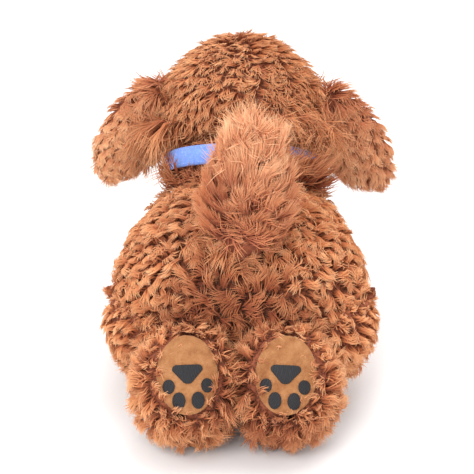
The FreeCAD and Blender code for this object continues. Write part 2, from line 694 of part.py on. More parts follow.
def tail_pieces():
    x, y, z = TAIL_PIVOT
    lean = math.radians(TAIL_LEAN)
    up = V(0, -math.sin(lean), math.cos(lean))
    start = V(x, y, z)
    sector = gear(SECTOR_TEETH, GEAR_WIDTH, SHAFT, 90.0).common(wedge(90, TAIL_SECTOR_HALF, SECTOR_TEETH))
    sector = sector.fuse(Part.makeCylinder(6, GEAR_WIDTH).cut(Part.makeCylinder(SHAFT, GEAR_WIDTH)))
    sector = along_y(sector, SECTOR_PLANE, z)
    stem = Part.makeCylinder(TAIL_ROD_RADIUS, TAIL_ROD_LENGTH, start, up)
    stem = stem.cut(Part.makeCylinder(SHAFT, 60, V(x, y - 30, z), Y_AXIS))
    hub = Part.makeCylinder(6, GEAR_WIDTH, V(x, SECTOR_PLANE, z), Y_AXIS)
    hub = hub.cut(Part.makeCylinder(SHAFT, 60, V(x, y - 30, z), Y_AXIS))
    lever = sector.fuse(stem).fuse(hub)
    shaft = Part.makeCylinder(SHAFT, GEARBOX_BACK - GEARBOX_FRONT, V(x, GEARBOX_FRONT, z), Y_AXIS)
    matrix = FreeCAD.Matrix()
    matrix.scale(TAIL_RADIUS, TAIL_RADIUS, TAIL_HALF_LENGTH)
    plume = Part.makeSphere(1.0).transformGeometry(matrix)
    plume.translate(V(0, 0, TAIL_CENTRE_UP))
    slope = math.tan(math.radians(TAIL_WAG + 6))
    far = 90
    low = TAIL_BARE
    below = ring_profile([(0, -far), (far, -far), (far, low + far * slope), (0, low)])
    plume = plume.cut(below)
    root = Part.makeCylinder(TAIL_ROOT_RADIUS, 30, V(0, 0, 11))
    plume = plume.fuse(root).cut(Part.makeCylinder(TAIL_ROD_RADIUS, TAIL_ROD_LENGTH))
    plume = turned(plume, (0, 0, 0), X_AXIS, TAIL_LEAN)
    plume.translate(start)
    return {"tail_lever": tail_rest(lever), "tail_shaft": shaft, "tail_skin": tail_rest(plume)}


def tail_drive():
    z = TAIL_PIVOT[2]
    # Seen along +Y with the gear's own +Y down, the sector's downward tooth has turned by the resting lean.
    sector_phase = 90.0 - TAIL_REST
    small = gear(SMALL_TEETH, GEAR_WIDTH, AXLE + RUN,
                 meshing_phase(SECTOR_TEETH, SMALL_TEETH, sector_phase, 90))
    small = along_y(small, SECTOR_PLANE, IDLER_HEIGHT)
    large = along_y(gear(LARGE_TEETH, GEAR_WIDTH, AXLE + RUN, 90.0), LARGE_PLANE, IDLER_HEIGHT)
    sleeve = Part.makeCylinder(4.0, SECTOR_PLANE - LARGE_PLANE - GEAR_WIDTH,
                               V(0, LARGE_PLANE + GEAR_WIDTH, IDLER_HEIGHT), Y_AXIS)
    sleeve = sleeve.cut(Part.makeCylinder(AXLE + RUN, 60, V(0, LARGE_PLANE - 10, IDLER_HEIGHT), Y_AXIS))
    idler = small.fuse(large).fuse(sleeve)
    motor, pinion = motor_and_pinion(meshing_phase(LARGE_TEETH, PINION_TEETH, 90.0, 90))
    motor = along_y(motor, LARGE_PLANE, MOTOR_HEIGHT)
    pinion = along_y(pinion, LARGE_PLANE, MOTOR_HEIGHT)
    axle = Part.makeCylinder(AXLE, GEARBOX_BACK - GEARBOX_FRONT, V(0, GEARBOX_FRONT, IDLER_HEIGHT), Y_AXIS)
    frame = box((-GEARBOX_HALF, GEARBOX_FRONT, GEARBOX_LOW),
                (GEARBOX_HALF, GEARBOX_BACK, GEARBOX_LOW + GEARBOX_FOOT))
    for y in (GEARBOX_FRONT, GEARBOX_BACK - GEARBOX_WALL):
        frame = frame.fuse(box((-GEARBOX_HALF, y, GEARBOX_LOW + GEARBOX_FOOT),
                               (GEARBOX_HALF, y + GEARBOX_WALL, GEARBOX_TOP)))
    for height, radius in ((z, SHAFT + RUN), (IDLER_HEIGHT, AXLE)):
        frame = frame.cut(Part.makeCylinder(radius, 60, V(0, GEARBOX_FRONT - 10, height), Y_AXIS))
    frame = frame.cut(rod((0, GEARBOX_FRONT - 1, MOTOR_HEIGHT), (0, 1, 0), MOTOR_NOSE + RUN,
                          GEARBOX_WALL + 1))
    return {"tail_idler_gear": idler, "tail_pinion": pinion, "tail_idler_axle": axle,
            "tail_motor": motor, "tail_gearbox_frame": frame}


# ---------------------------------------------------------------- case

def case_profile(grow):
    """Side outline of the case, (y, z) points, with a sloping top square to the neck."""
    front = neck_point(0, -TURRET_HALF, TURRET_TOP)
    back = neck_point(0, TURRET_HALF, TURRET_TOP)
    points = [(CASE_FRONT, CASE_FLOOR), (CASE_BACK, CASE_FLOOR), (CASE_BACK, CASE_TOP),
              (back[1] + 10, CASE_TOP),
              (back[1], back[2]), (front[1], front[2]), (CASE_FRONT, front[2] - 6)]
    outline = [V(0, y, z) for y, z in points]
    wire = Part.makePolygon(outline + outline[:1])
    if grow:
        wire = wire.makeOffset2D(grow, 2)
    return wire


def extrude_profile(wire, half_width):
    face = Part.Face(wire)
    face.translate(V(-half_width, 0, 0))
    return face.extrude(V(2 * half_width, 0, 0))


def case_pieces():
    solid = extrude_profile(case_profile(0), CASE_HALF_WIDTH)
    hollow = extrude_profile(case_profile(-CASE_WALL), CASE_HALF_WIDTH - CASE_WALL)
    shell = solid.cut(hollow)
    far = FLOOR_BOX
    lower_half = box((-far, -far, -far), (far, far, CASE_SPLIT))
    lower = shell.common(lower_half)
    upper = shell.cut(lower_half)

    # Belly panel, proud of the case floor and flush with the pile.
    panel = box((-BELLY_HALF_WIDTH, BELLY_FRONT, 0), (BELLY_HALF_WIDTH, BELLY_BACK, CASE_FLOOR))
    lower = lower.fuse(panel)
    bay_outside = box((-BAY_HALF_WIDTH - BAY_WALL, BAY_FRONT - BAY_WALL, 0),
                      (BAY_HALF_WIDTH + BAY_WALL, BAY_BACK + BAY_WALL, BAY_ROOF))
    bay = box((-BAY_HALF_WIDTH, BAY_FRONT, -1), (BAY_HALF_WIDTH, BAY_BACK, BAY_ROOF - BAY_WALL))
    lower = lower.fuse(bay_outside).cut(bay)

    # Seats for the board, the speaker's grille, the switch slot and the screw bosses.
    for x, y in BOARD_POSTS:
        lower = lower.fuse(rod((x, y, BAY_ROOF - 1), (0, 0, 1), 3.0, BOARD_TOP - BAY_ROOF + 1))
    for k in range(-3, 4):
        x = SPEAKER_AT[0] + GRILLE_PITCH * k
        half = math.sqrt(GRILLE_RADIUS ** 2 - (GRILLE_PITCH * k) ** 2)
        lower = lower.cut(box((x - 1, SPEAKER_AT[1] - half, -1),
                              (x + 1, SPEAKER_AT[1] + half, CASE_FLOOR + CASE_WALL)))
    lower = lower.cut(box((-KNOB_HALF - SLIP, SWITCH_Y - 2 - SLIP, -1),
                          (KNOB_HALF + SWITCH_TRAVEL + SLIP, SWITCH_Y + 2 + SLIP, 10)))
    lower = lower.cut(box((-6 - SLIP, SWITCH_Y - 4, -1), (11 + SLIP, SWITCH_Y + 4, 1.2)))
    for x, y in SCREW_SPOTS:
        lower = lower.fuse(rod((x, y, CASE_FLOOR), (0, 0, 1), BOSS_RADIUS, CASE_SPLIT - CASE_FLOOR))
        lower = lower.cut(rod((x, y, -1), (0, 0, 1), SCREW_RADIUS + 0.2, CASE_SPLIT + 2))
        lower = lower.cut(rod((x, y, -1), (0, 0, 1), 3.0, CASE_FLOOR + 3))
        upper = upper.fuse(rod((x, y, CASE_SPLIT), (0, 0, 1), BOSS_RADIUS, 10))
        upper = upper.cut(rod((x, y, CASE_SPLIT - 1), (0, 0, 1), SCREW_RADIUS, 9))

    # Turret bearing for the neck, room for the tail gearbox and a hole for the back button's wires.
    turret = Part.makeCylinder(TURRET_RADIUS, 10, V(0, 0, TURRET_TOP))
    bearing = Part.makeCylinder(POST_RADIUS + RUN, 30, V(0, 0, TURRET_TOP - 10))
    upper = upper.fuse(to_neck(turret)).cut(to_neck(bearing))
    upper = upper.cut(box((-GEARBOX_HALF - SLIP, GEARBOX_FRONT - SLIP, CASE_TOP - 5),
                          (GEARBOX_HALF + SLIP, GEARBOX_BACK + SLIP, CASE_TOP + 1)))
    upper = upper.cut(box((-sector_swing(), LARGE_PLANE - 1, CASE_TOP - 5),
                          (sector_swing(), SECTOR_PLANE + GEAR_WIDTH + 1, CASE_TOP + 1)))
    pedestal = box((-GEARBOX_HALF, GEARBOX_FRONT, CASE_FLOOR), (GEARBOX_HALF, GEARBOX_BACK, GEARBOX_LOW))
    lower = lower.fuse(pedestal)
    ahead = GEARBOX_FRONT - SLIP
    saddle = box((-MOTOR_RADIUS, ahead - 18, MOTOR_HEIGHT - 14), (MOTOR_RADIUS, ahead - 4, MOTOR_HEIGHT - 4))
    saddle = saddle.cut(rod((0, ahead - 40, MOTOR_HEIGHT), (0, 1, 0), MOTOR_RADIUS + RUN, 60))
    column = box((-4, ahead - 8, CASE_FLOOR), (4, ahead - 4, MOTOR_HEIGHT - 13))
    lower = lower.fuse(saddle).fuse(column)
    return {"case_lower": solids_of(lower), "case_upper": solids_of(upper)}


def sector_swing():
    """Half the width that the sector's teeth sweep at the case's top."""
    reach = math.radians(TAIL_WAG + TAIL_SECTOR_HALF + 4)
    return (MODULE * SECTOR_TEETH / 2 + 1) * math.sin(reach) + 1


def case_screws():
    screws = []
    for x, y in SCREW_SPOTS:
        head = rod((x, y, CASE_FLOOR), (0, 0, 1), SCREW_HEAD, 2)
        shank = rod((x, y, CASE_FLOOR + 2), (0, 0, 1), SCREW_RADIUS, CASE_SPLIT + 6 - CASE_FLOOR - 2)
        cross = box((x - 1.8, y - 0.4, CASE_FLOOR - 1), (x + 1.8, y + 0.4, CASE_FLOOR + 0.9))
        cross = cross.fuse(box((x - 0.4, y - 1.8, CASE_FLOOR - 1), (x + 0.4, y + 1.8, CASE_FLOOR + 0.9)))
        screws.append(head.fuse(shank).cut(cross))
    return Part.makeCompound(screws)


def battery_pieces():
    cells, contacts = [], []
    middle = (BAY_FRONT + BAY_BACK) / 2
    for k in (-1, 0, 1):
        y = middle + k * CELL_PITCH
        flip = 1 if k % 2 == 0 else -1
        can = rod((-CELL_LENGTH / 2, y, CELL_HEIGHT), (1, 0, 0), CELL_RADIUS, CELL_LENGTH - 1)
        tip = rod((CELL_LENGTH / 2 - 1, y, CELL_HEIGHT), (1, 0, 0), 2.6, 1)
        cell = can.fuse(tip)
        if flip < 0:
            cell = turned(cell, (0, y, CELL_HEIGHT), Z_AXIS, 180)
        cells.append(cell)
        for side in (1, -1):
            wall = side * BAY_HALF_WIDTH
            inner, outer = sorted((wall, wall - side * CONTACT_THICK))
            plate = box((inner, y - 5, CELL_HEIGHT - 5), (outer, y + 5, CELL_HEIGHT + 5))
            gap = BAY_HALF_WIDTH - CONTACT_THICK - CELL_LENGTH / 2
            if side == flip:
                button = rod((side * (BAY_HALF_WIDTH - CONTACT_THICK), y, CELL_HEIGHT), (-side, 0,
                                                                                         0), 2.4, gap)
                contacts.append(plate.fuse(button))
            else:
                contacts.append(plate.fuse(contact_spring(side, y, gap)))
    return {"battery_cells": Part.makeCompound(cells), "battery_contacts": Part.makeCompound(contacts)}


def contact_spring(side, y, length):
    """A short cone spring, as rings of wire that narrow towards the cell, joined by links."""
    start = BAY_HALF_WIDTH - CONTACT_THICK
    step = length / SPRING_TURNS
    spring = None
    for k in range(SPRING_TURNS):
        radius = 3.6 - 0.5 * k
        ring = Part.makeTorus(radius, SPRING_WIRE, V(side * (start - (k + 0.5) * step), y,
                                                     CELL_HEIGHT), X_AXIS)
        link = rod((side * (start - k * step), y + radius, CELL_HEIGHT), (-side, 0, 0), SPRING_LINK, step)
        spring = ring.fuse(link) if spring is None else spring.fuse(ring).fuse(link)
    return spring


def battery_door():
    half = BAY_HALF_WIDTH - DOOR_GAP
    plate = box((-half, BAY_FRONT + DOOR_GAP, 0), (half, BAY_BACK - DOOR_GAP, DOOR_THICK))
    for k in range(5):
        y = BAY_FRONT + 8 + 2.2 * k
        plate = plate.cut(box((-9, y, -1), (9, y + 1.0, 0.6)))
    screw_y = BAY_BACK - 5
    head = rod((0, screw_y, 0.2), (0, 0, 1), 2.6, 1.2)
    screw = head.cut(box((-2, screw_y - 0.4, -1), (2, screw_y + 0.4, 0.7)))
    plate = plate.cut(rod((0, screw_y, -1), (0, 0, 1), 2.6, 2.4))
    return {"battery_door": plate, "battery_door_screw": screw}


def switch_pieces():
    """The power switch: a knob in a slot of the belly panel, and its housing above."""
    knob = box((-KNOB_HALF, SWITCH_Y - 2, 0.5), (KNOB_HALF, SWITCH_Y + 2, 7))
    housing = box((-9, SWITCH_Y - 4, 7 + SLIP), (14, SWITCH_Y + 4, 12))
    for x in (-9, 13):
        housing = housing.fuse(box((x, SWITCH_Y - 4, CASE_FLOOR + CASE_WALL), (x + 1, SWITCH_Y + 4, 12)))
    return {"power_switch_knob": knob, "power_switch_housing": housing}


def board_pieces():
    low = BOARD_TOP
    board = box((-29, -40, low), (29, 9, low + 1.6))
    parts = [
        box((-8, -24, low + 1.6), (8, -8, low + 3.4)),
        box((12, -30, low + 1.6), (22, -22, low + 4.6)),
        rod((-18, -28, low + 1.6), (0, 0, 1), 3.2, 8),
        rod((-18, -18, low + 1.6), (0, 0, 1), 2.5, 7),
        rod((18, -6, low + 1.6), (0, 0, 1), 2.5, 6),
        box((-22, 0, low + 1.6), (-10, 6, low + 7)),
        box((6, 0, low + 1.6), (18, 6, low + 7)),
    ]
    return {"circuit_board": board, "board_components": Part.makeCompound(parts)}


def speaker_piece():
    x, y = SPEAKER_AT
    low = CASE_FLOOR + CASE_WALL
    rim = rod((x, y, low), (0, 0, 1), SPEAKER_RADIUS, 2)
    basket = Part.makeCone(SPEAKER_RADIUS - 2, 10, 5, V(x, y, low + 2))
    magnet = rod((x, y, low + 7), (0, 0, 1), 9, 4)
    hollow = Part.makeCone(SPEAKER_RADIUS - 4, 5, 4, V(x, y, low - 0.01))
    return rim.fuse(basket).fuse(magnet).cut(hollow)


def touch_button(place, at_top):
    """A sprung plunger in a round housing, under the pile."""
    rise = BUTTON_TRAVEL + 0.2
    depth = HOUSING_HEIGHT - BUTTON_FLOOR
    housing = Part.makeCylinder(BUTTON_HOUSING, HOUSING_HEIGHT)
    housing = housing.cut(Part.makeCylinder(BUTTON_RADIUS + SLIP / 2, depth + 0.5, V(0, 0, BUTTON_FLOOR)))
    button = Part.makeCylinder(BUTTON_RADIUS, depth, V(0, 0, BUTTON_FLOOR + rise))
    button = button.fuse(Part.makeCylinder(BUTTON_CAP, 1.2, V(0, 0, HOUSING_HEIGHT + rise)))
    return place(housing, at_top), place(button, at_top)


def on_skull(shape, height):
    copy = shape.copy()
    copy.translate(V(0, 0, height))
    return to_neck(copy)


def on_back(shape, height):
    copy = shape.copy()
    copy.translate(V(BACK_BUTTON[0], BACK_BUTTON[1], height))
    return copy


def button_pieces():
    skull_top = HEAD_UP_NECK + SKULL_RADIUS - 3
    head_housing, head_button = touch_button(on_skull, skull_top)
    low = BACK_BUTTON[2] - 6
    back_housing, back_button = touch_button(on_back, low)
    stalk = rod((BACK_BUTTON[0], BACK_BUTTON[1], CASE_TOP), (0, 0, 1), 5, low - CASE_TOP)
    return {"head_touch_housing": head_housing, "head_touch_button": head_button,
            "back_touch_housing": back_housing.fuse(stalk), "back_touch_button": back_button}


# ---------------------------------------------------------------- assembly

def model():
    nodes = torso_pieces()
    nodes["neck_skin"] = neck_piece()
    nodes.update(collar_pieces())
    sewn_to = torso_body(-SLIP)
    fore = front_leg(sewn_to)
    for side, piece in (("left", lambda s: s), ("right", mirrored)):
        patch, pads = sole_pieces(side)
        nodes[f"hind_leg_{side}"] = piece(hind_leg(sewn_to, side))
        nodes[f"sole_patch_{side}"] = piece(patch)
        nodes[f"sole_embroidery_{side}"] = piece(pads)
        nodes[f"front_leg_{side}"] = piece(fore)
        nodes[f"ear_{side}"] = ear(side)
    nodes["head_skin"] = head_skin()
    nodes.update(skull_pieces())
    nodes["head_yoke"] = head_frame_piece()
    nodes["eyes"] = Part.makeCompound([eye(side).fuse(eye_stem(side)) for side in (1, -1)])
    nodes["nose"] = nose()
    nodes.update(neck_pieces())
    nodes.update(nod_drive())
    nodes.update(turn_drive())
    nodes.update(tail_pieces())
    nodes.update(tail_drive())
    nodes.update(case_pieces())
    nodes["case_screws"] = case_screws()
    nodes.update(battery_pieces())
    nodes.update(battery_door())
    nodes.update(switch_pieces())
    nodes.update(board_pieces())
    nodes["speaker"] = speaker_piece()
    nodes.update(button_pieces())
    return nodes


def main():
    os.makedirs("parts", exist_ok=True)
    for name, shape in sorted(model().items()):
        count = len(shape.Solids)
        print(f"{name:24s} {count} solid(s), {shape.Volume / 1000:9.3f} cm3, valid {shape.isValid()}")
        shape.exportStep(os.path.join("parts", name + ".step"))


main()
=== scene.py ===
import json
import math

import bmesh
import bpy
import numpy as np
from mathutils import Matrix, Vector
from mathutils.bvhtree import BVHTree


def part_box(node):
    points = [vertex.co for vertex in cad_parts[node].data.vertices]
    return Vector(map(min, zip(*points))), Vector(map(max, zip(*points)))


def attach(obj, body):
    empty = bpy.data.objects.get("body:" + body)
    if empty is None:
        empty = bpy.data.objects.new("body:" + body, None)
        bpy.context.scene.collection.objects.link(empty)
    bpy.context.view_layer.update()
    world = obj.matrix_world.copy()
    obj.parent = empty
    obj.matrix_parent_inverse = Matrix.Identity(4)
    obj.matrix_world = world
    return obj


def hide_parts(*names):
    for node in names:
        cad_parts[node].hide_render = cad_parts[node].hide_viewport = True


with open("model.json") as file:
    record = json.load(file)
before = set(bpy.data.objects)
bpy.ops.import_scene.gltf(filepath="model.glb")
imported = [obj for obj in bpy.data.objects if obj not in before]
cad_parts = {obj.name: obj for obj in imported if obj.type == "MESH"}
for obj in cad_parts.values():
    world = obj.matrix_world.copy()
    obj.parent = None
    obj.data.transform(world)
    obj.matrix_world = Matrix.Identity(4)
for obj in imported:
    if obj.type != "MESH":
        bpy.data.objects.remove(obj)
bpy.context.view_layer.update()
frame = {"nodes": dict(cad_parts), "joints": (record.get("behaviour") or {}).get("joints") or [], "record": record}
scene = bpy.context.scene
mm = 0.001

joints = {j["name"]: j for j in frame["joints"]}
neckPivot = Vector(joints["head_turn"]["pos_m"])
neckAxis = Vector(joints["head_turn"]["axis"]).normalized()
tailPivot = Vector(joints["tail_wag"]["pos_m"])
sides = {"left": 1, "right": -1}        # the dog's own sides, and the sign of x there


# ---------- nodes and colours ----------

def linear(hexColour):
    channels = [int(hexColour[k:k + 2], 16) / 255 for k in (1, 3, 5)]
    return [c / 12.92 if c <= 0.04045 else ((c + 0.055) / 1.055) ** 2.4 for c in channels] + [1.0]


def addNode(tree, kind, settings=None, inputs=None):
    # Inputs are given by name or number, each a value or another node's output.
    node = tree.nodes.new(kind)
    for key, value in (settings or {}).items():
        setattr(node, key, value)
    for key, value in (inputs or {}).items():
        socket = node.inputs[key]
        if isinstance(value, bpy.types.NodeSocket):
            tree.links.new(value, socket)
        else:
            socket.default_value = value
    return node


def newMaterial(name):
    material = bpy.data.materials.new(name)
    material.use_nodes = True
    tree = material.node_tree
    return material, tree, tree.nodes["Principled BSDF"]


def fillRamp(node, stops):
    elements = node.color_ramp.elements
    while len(elements) < len(stops):
        elements.new(0.5)
    for element, (place, colour) in zip(elements, stops):
        element.position = place
        element.color = linear(colour)
    return node


def finish(tree, shader, sockets, colour=None, relief=None):
    # Wires the colour and the relief to the shader, and sets its other sockets.
    for source, label in ((colour, "Base Color"), (relief, "Normal")):
        if source:
            tree.links.new(source.outputs[0], shader.inputs[label])
    for label, value in sockets.items():
        shader.inputs[label].default_value = value


def noisyMaterial(name, sockets, colour, relief=None):
    # Colour is a noise's size, detail and roughness and the ramp's stops. Relief is a noise's size and detail and
    # the bump's strength and depth.
    material, tree, shader = newMaterial(name)
    place = addNode(tree, "ShaderNodeTexCoord").outputs["Object"]

    def noise(size, detail, rough=0.5):
        inputs = {"Vector": place, "Scale": 1 / size, "Detail": detail, "Roughness": rough}
        return addNode(tree, "ShaderNodeTexNoise", None, inputs).outputs[0]

    ramp = fillRamp(addNode(tree, "ShaderNodeValToRGB", None, {0: noise(*colour[:3])}), colour[3])
    bump = relief and addNode(tree, "ShaderNodeBump", None,
                              {"Strength": relief[2], "Distance": relief[3], "Height": noise(*relief[:2])})
    finish(tree, shader, sockets, ramp, bump)
    return material


# ---------- materials ----------

def pileMaterial(name, low, high):
    # Polyester pile: matt, a little sheen from the fibre ends. Its colour is dark and warm down at the backing,
    # which is painted shade among the fibres, and pales towards the tips, partly the fibres' own paler ends and
    # partly painted highlight.
    # u of the map runs from the duller locks to the paler ones, v from root to tip.
    material, tree, shader = newMaterial(name)
    uv = addNode(tree, "ShaderNodeUVMap", {"uv_map": "OFBake"})
    split = addNode(tree, "ShaderNodeSeparateXYZ", None, {0: uv.outputs[0]}).outputs
    dull, pale = (fillRamp(addNode(tree, "ShaderNodeValToRGB", None, {0: split[1]}), stops)
                  for stops in (low, high))
    mixed = addNode(tree, "ShaderNodeMix", {"data_type": "RGBA"},
                    {0: split[0], 6: dull.outputs[0], 7: pale.outputs[0]})
    tree.links.new(mixed.outputs[2], shader.inputs["Base Color"])
    finish(tree, shader, {"Roughness": 0.75, "Specular IOR Level": 0.25, "Sheen Weight": 0.25,
                          "Sheen Roughness": 0.5, "Sheen Tint": linear("#ffd9b8")})
    return material


# Each ramp runs from root to tip: the dark root stops are painted shade down among the fibres, the pale tip stops
# partly painted highlight.
bodyPile = pileMaterial(
    "curly polyester pile",
    [(0.0, "#451a10"), (0.38, "#8c4429"), (0.75, "#b56b45"), (1.0, "#d28c60")],
    [(0.0, "#743621"), (0.38, "#c8784b"), (0.75, "#e9a975"), (1.0, "#f8c598")])
tailPile = pileMaterial(
    "long brushed polyester pile",
    [(0.0, "#843f2a"), (0.35, "#b5664a"), (0.75, "#cf8459"), (1.0, "#dd9a6e")],
    [(0.0, "#a25a3c"), (0.35, "#d88f66"), (0.75, "#eeb488"), (1.0, "#fbd0a6")])
earHair = pileMaterial(
    "brushed polyester pile of the ears",
    [(0.0, "#6c2f1b"), (0.35, "#ab5e3e"), (0.75, "#cb8258"), (1.0, "#e0a074")],
    [(0.0, "#935036"), (0.35, "#d48d62"), (0.75, "#edb586"), (1.0, "#f9d2aa")])
# Knitted backing cloth under the pile: 1.2 mm courses, brushed, a shade darker than the pile.
backing = noisyMaterial("knitted backing cloth", {"Roughness": 0.95},
                        (6 * mm, 4.0, 0.5, [(0.3, "#6b3421"), (0.7, "#a25a3c")]),
                        (1.2 * mm, 2.0, 0.8, 0.6 * mm))


# ---------- geometry tools ----------

def objectFrom(mesh, name):
    thing = bpy.data.objects.new(name, mesh)
    scene.collection.objects.link(thing)
    return thing


def evaluated(thing, name):
    # The object's shape with its modifiers applied, as a new plain mesh.
    graph = bpy.context.evaluated_depsgraph_get()
    mesh = bpy.data.meshes.new_from_object(thing.evaluated_get(graph))
    mesh.name = name
    return mesh


def vectors(items, field):
    flat = np.empty(len(items) * 3, np.float32)
    items.foreach_get(field, flat)
    return flat.reshape(-1, 3).astype(float)


def points(mesh):
    return vectors(mesh.vertices, "co")


def normals(mesh):
    return vectors(mesh.vertex_normals, "vector")


def setPoints(mesh, places):
    mesh.vertices.foreach_set("co", places.astype(np.float32).ravel())
    mesh.update()


def meshFrom(form, name, material=None):
    mesh = bpy.data.meshes.new(name)
    form.to_mesh(mesh)
    form.free()
    if material:
        mesh.materials.append(material)
    return mesh


def edited(mesh, work):
    # Runs a job on the mesh while it is open for editing.
    form = bmesh.new()
    form.from_mesh(mesh)
    work(form)
    form.to_mesh(mesh)
    form.free()
    mesh.update()


def shadeSmooth(mesh):
    for face in mesh.polygons:
        face.use_smooth = True


def joinedNodes(names, lumps=()):
    # A merged copy of some CAD nodes as one mesh, with soft lumps (centre, half sizes) of filling added.
    form = bmesh.new()
    for name in names:
        form.from_mesh(frame["nodes"][name].data)
    bmesh.ops.remove_doubles(form, verts=form.verts, dist=1e-6)
    for centre, half in lumps:
        place = Matrix.Translation(centre) @ Matrix.Diagonal((*half, 1))
        bmesh.ops.create_icosphere(form, subdivisions=3, radius=1.0, matrix=place)
    return meshFrom(form, "joined")


def keepLargest(form):
    # Keeps only the shell with the most points, which is the outer one.
    left, shells = set(form.verts), []
    while left:
        stack = [left.pop()]
        shell = list(stack)
        while stack:
            for edge in stack.pop().link_edges:
                for vert in edge.verts:
                    if vert in left:
                        left.discard(vert)
                        shell.append(vert)
                        stack.append(vert)
        shells.append(shell)
    shells.sort(key=len)
    for shell in shells[:-1]:
        bmesh.ops.delete(form, geom=shell, context="VERTS")


def remeshed(mesh, name, voxel):
    thing = objectFrom(mesh, name)
    remesh = thing.modifiers.new("remesh", "REMESH")
    remesh.mode = "VOXEL"
    remesh.voxel_size = voxel
    result = evaluated(thing, name)
    bpy.data.objects.remove(thing)
    return result


def smoothMesh(mesh, rounds):
    def smooth(form):
        for _ in range(rounds):
            bmesh.ops.smooth_vert(form, verts=form.verts, factor=0.5,
                                  use_axis_x=True, use_axis_y=True, use_axis_z=True)
    edited(mesh, smooth)


filling = {"pressure": 4.0, "cap": 2.5 * mm, "quality": 5, "frames": 20}
underFloor = 1 * mm       # the lowest that a cloth body comes


def stuffed(mesh, pressure):
    # Blows the cloth out a little as the filling does, and takes up at most the cap.
    if not pressure:
        return
    before = points(mesh)
    thing = objectFrom(mesh, "stuffing")
    cloth = thing.modifiers.new("cloth", "CLOTH")
    cloth.settings.use_pressure = True
    cloth.settings.uniform_pressure_force = pressure
    cloth.settings.effector_weights.gravity = 0.0
    cloth.settings.quality = filling["quality"]
    for number in range(1, filling["frames"] + 1):
        scene.frame_set(number)
    after = points(evaluated(thing, "swollen"))
    scene.frame_set(1)
    bpy.data.objects.remove(thing)
    move = after - before
    length = np.linalg.norm(move, axis=1, keepdims=True)
    move *= np.minimum(1.0, filling["cap"] / np.maximum(length, 1e-9))
    setPoints(mesh, before + move)


def clothBody(name, nodes, voxel, inset, lumps=(), pressure=filling["pressure"], rounds=3):
    # The sewn cloth under the pile: the outer shape taken in by the depth of the pile.
    mesh = remeshed(joinedNodes(nodes, lumps), name, voxel)
    edited(mesh, keepLargest)
    smoothMesh(mesh, rounds)
    setPoints(mesh, points(mesh) - normals(mesh) * inset)
    smoothMesh(mesh, 2)
    stuffed(mesh, pressure)
    places = points(mesh)
    places[:, 2] = np.maximum(places[:, 2], underFloor)
    setPoints(mesh, places)
    mesh.materials.clear()
    mesh.materials.append(backing)
    print("cloth body", name, len(mesh.polygons), "faces")
    return objectFrom(mesh, name)


def writeAttribute(mesh, name, kind, values):
    attribute = mesh.attributes.get(name) or mesh.attributes.new(name, kind, "POINT")
    field = "vector" if kind == "FLOAT_VECTOR" else "value"
    attribute.data.foreach_set(field, np.asarray(values, np.float32).ravel())


# ---------- pile ----------

def newTree(name, inputs, output):
    # A node group with these inputs and one geometry output, and the sockets that its inputs come in by.
    tree = bpy.data.node_groups.new(name, "GeometryNodeTree")
    for label, kind in inputs.items():
        tree.interface.new_socket(label, in_out="INPUT", socket_type="NodeSocket" + kind)
    tree.interface.new_socket(output, in_out="OUTPUT", socket_type="NodeSocketGeometry")
    return tree, addNode(tree, "NodeGroupInput").outputs


def withTree(thing, tree, settings, name):
    # The mesh that a node group makes of an object, which is then removed.
    modifier = thing.modifiers.new(tree.name, "NODES")
    modifier.node_group = tree
    sockets = {item.name: item.identifier for item in tree.interface.items_tree if item.in_out == "INPUT"}
    for label, value in settings.items():
        modifier[sockets[label]] = value
    mesh = evaluated(thing, name)
    bpy.data.objects.remove(thing)
    return mesh


# Ranges are of random shares: of length, tone and bend, for one strand or for a whole lock.
strandShape = {"ownNormal": 0.4, "lockNormal": 0.6, "length": (0.78, 1.12), "lockLength": (0.75, 1.2),
               "tone": (-0.1, 0.1), "lockTone": (-0.22, 0.22), "toneLimits": (0.03, 0.97),
               "lockBend": (0.75, 1.2), "gatherRate": 1.7, "waveTurns": 6.0, "fullness": 1.6, "toneEdge": 0.01}
pileFloats = ("Density", "Lock Size", "Length", "Radius", "Turn", "Gather", "Scatter", "Stray", "Wave", "Lift",
              "Tone Low", "Tone High")
workNames = ("root", "start", "over", "pull", "strandLength", "tone", "bend", "phase", "along", "across", "beside",
             "pileDensity", "pileLength", "pileComb", "pileTone", "lockNormal")


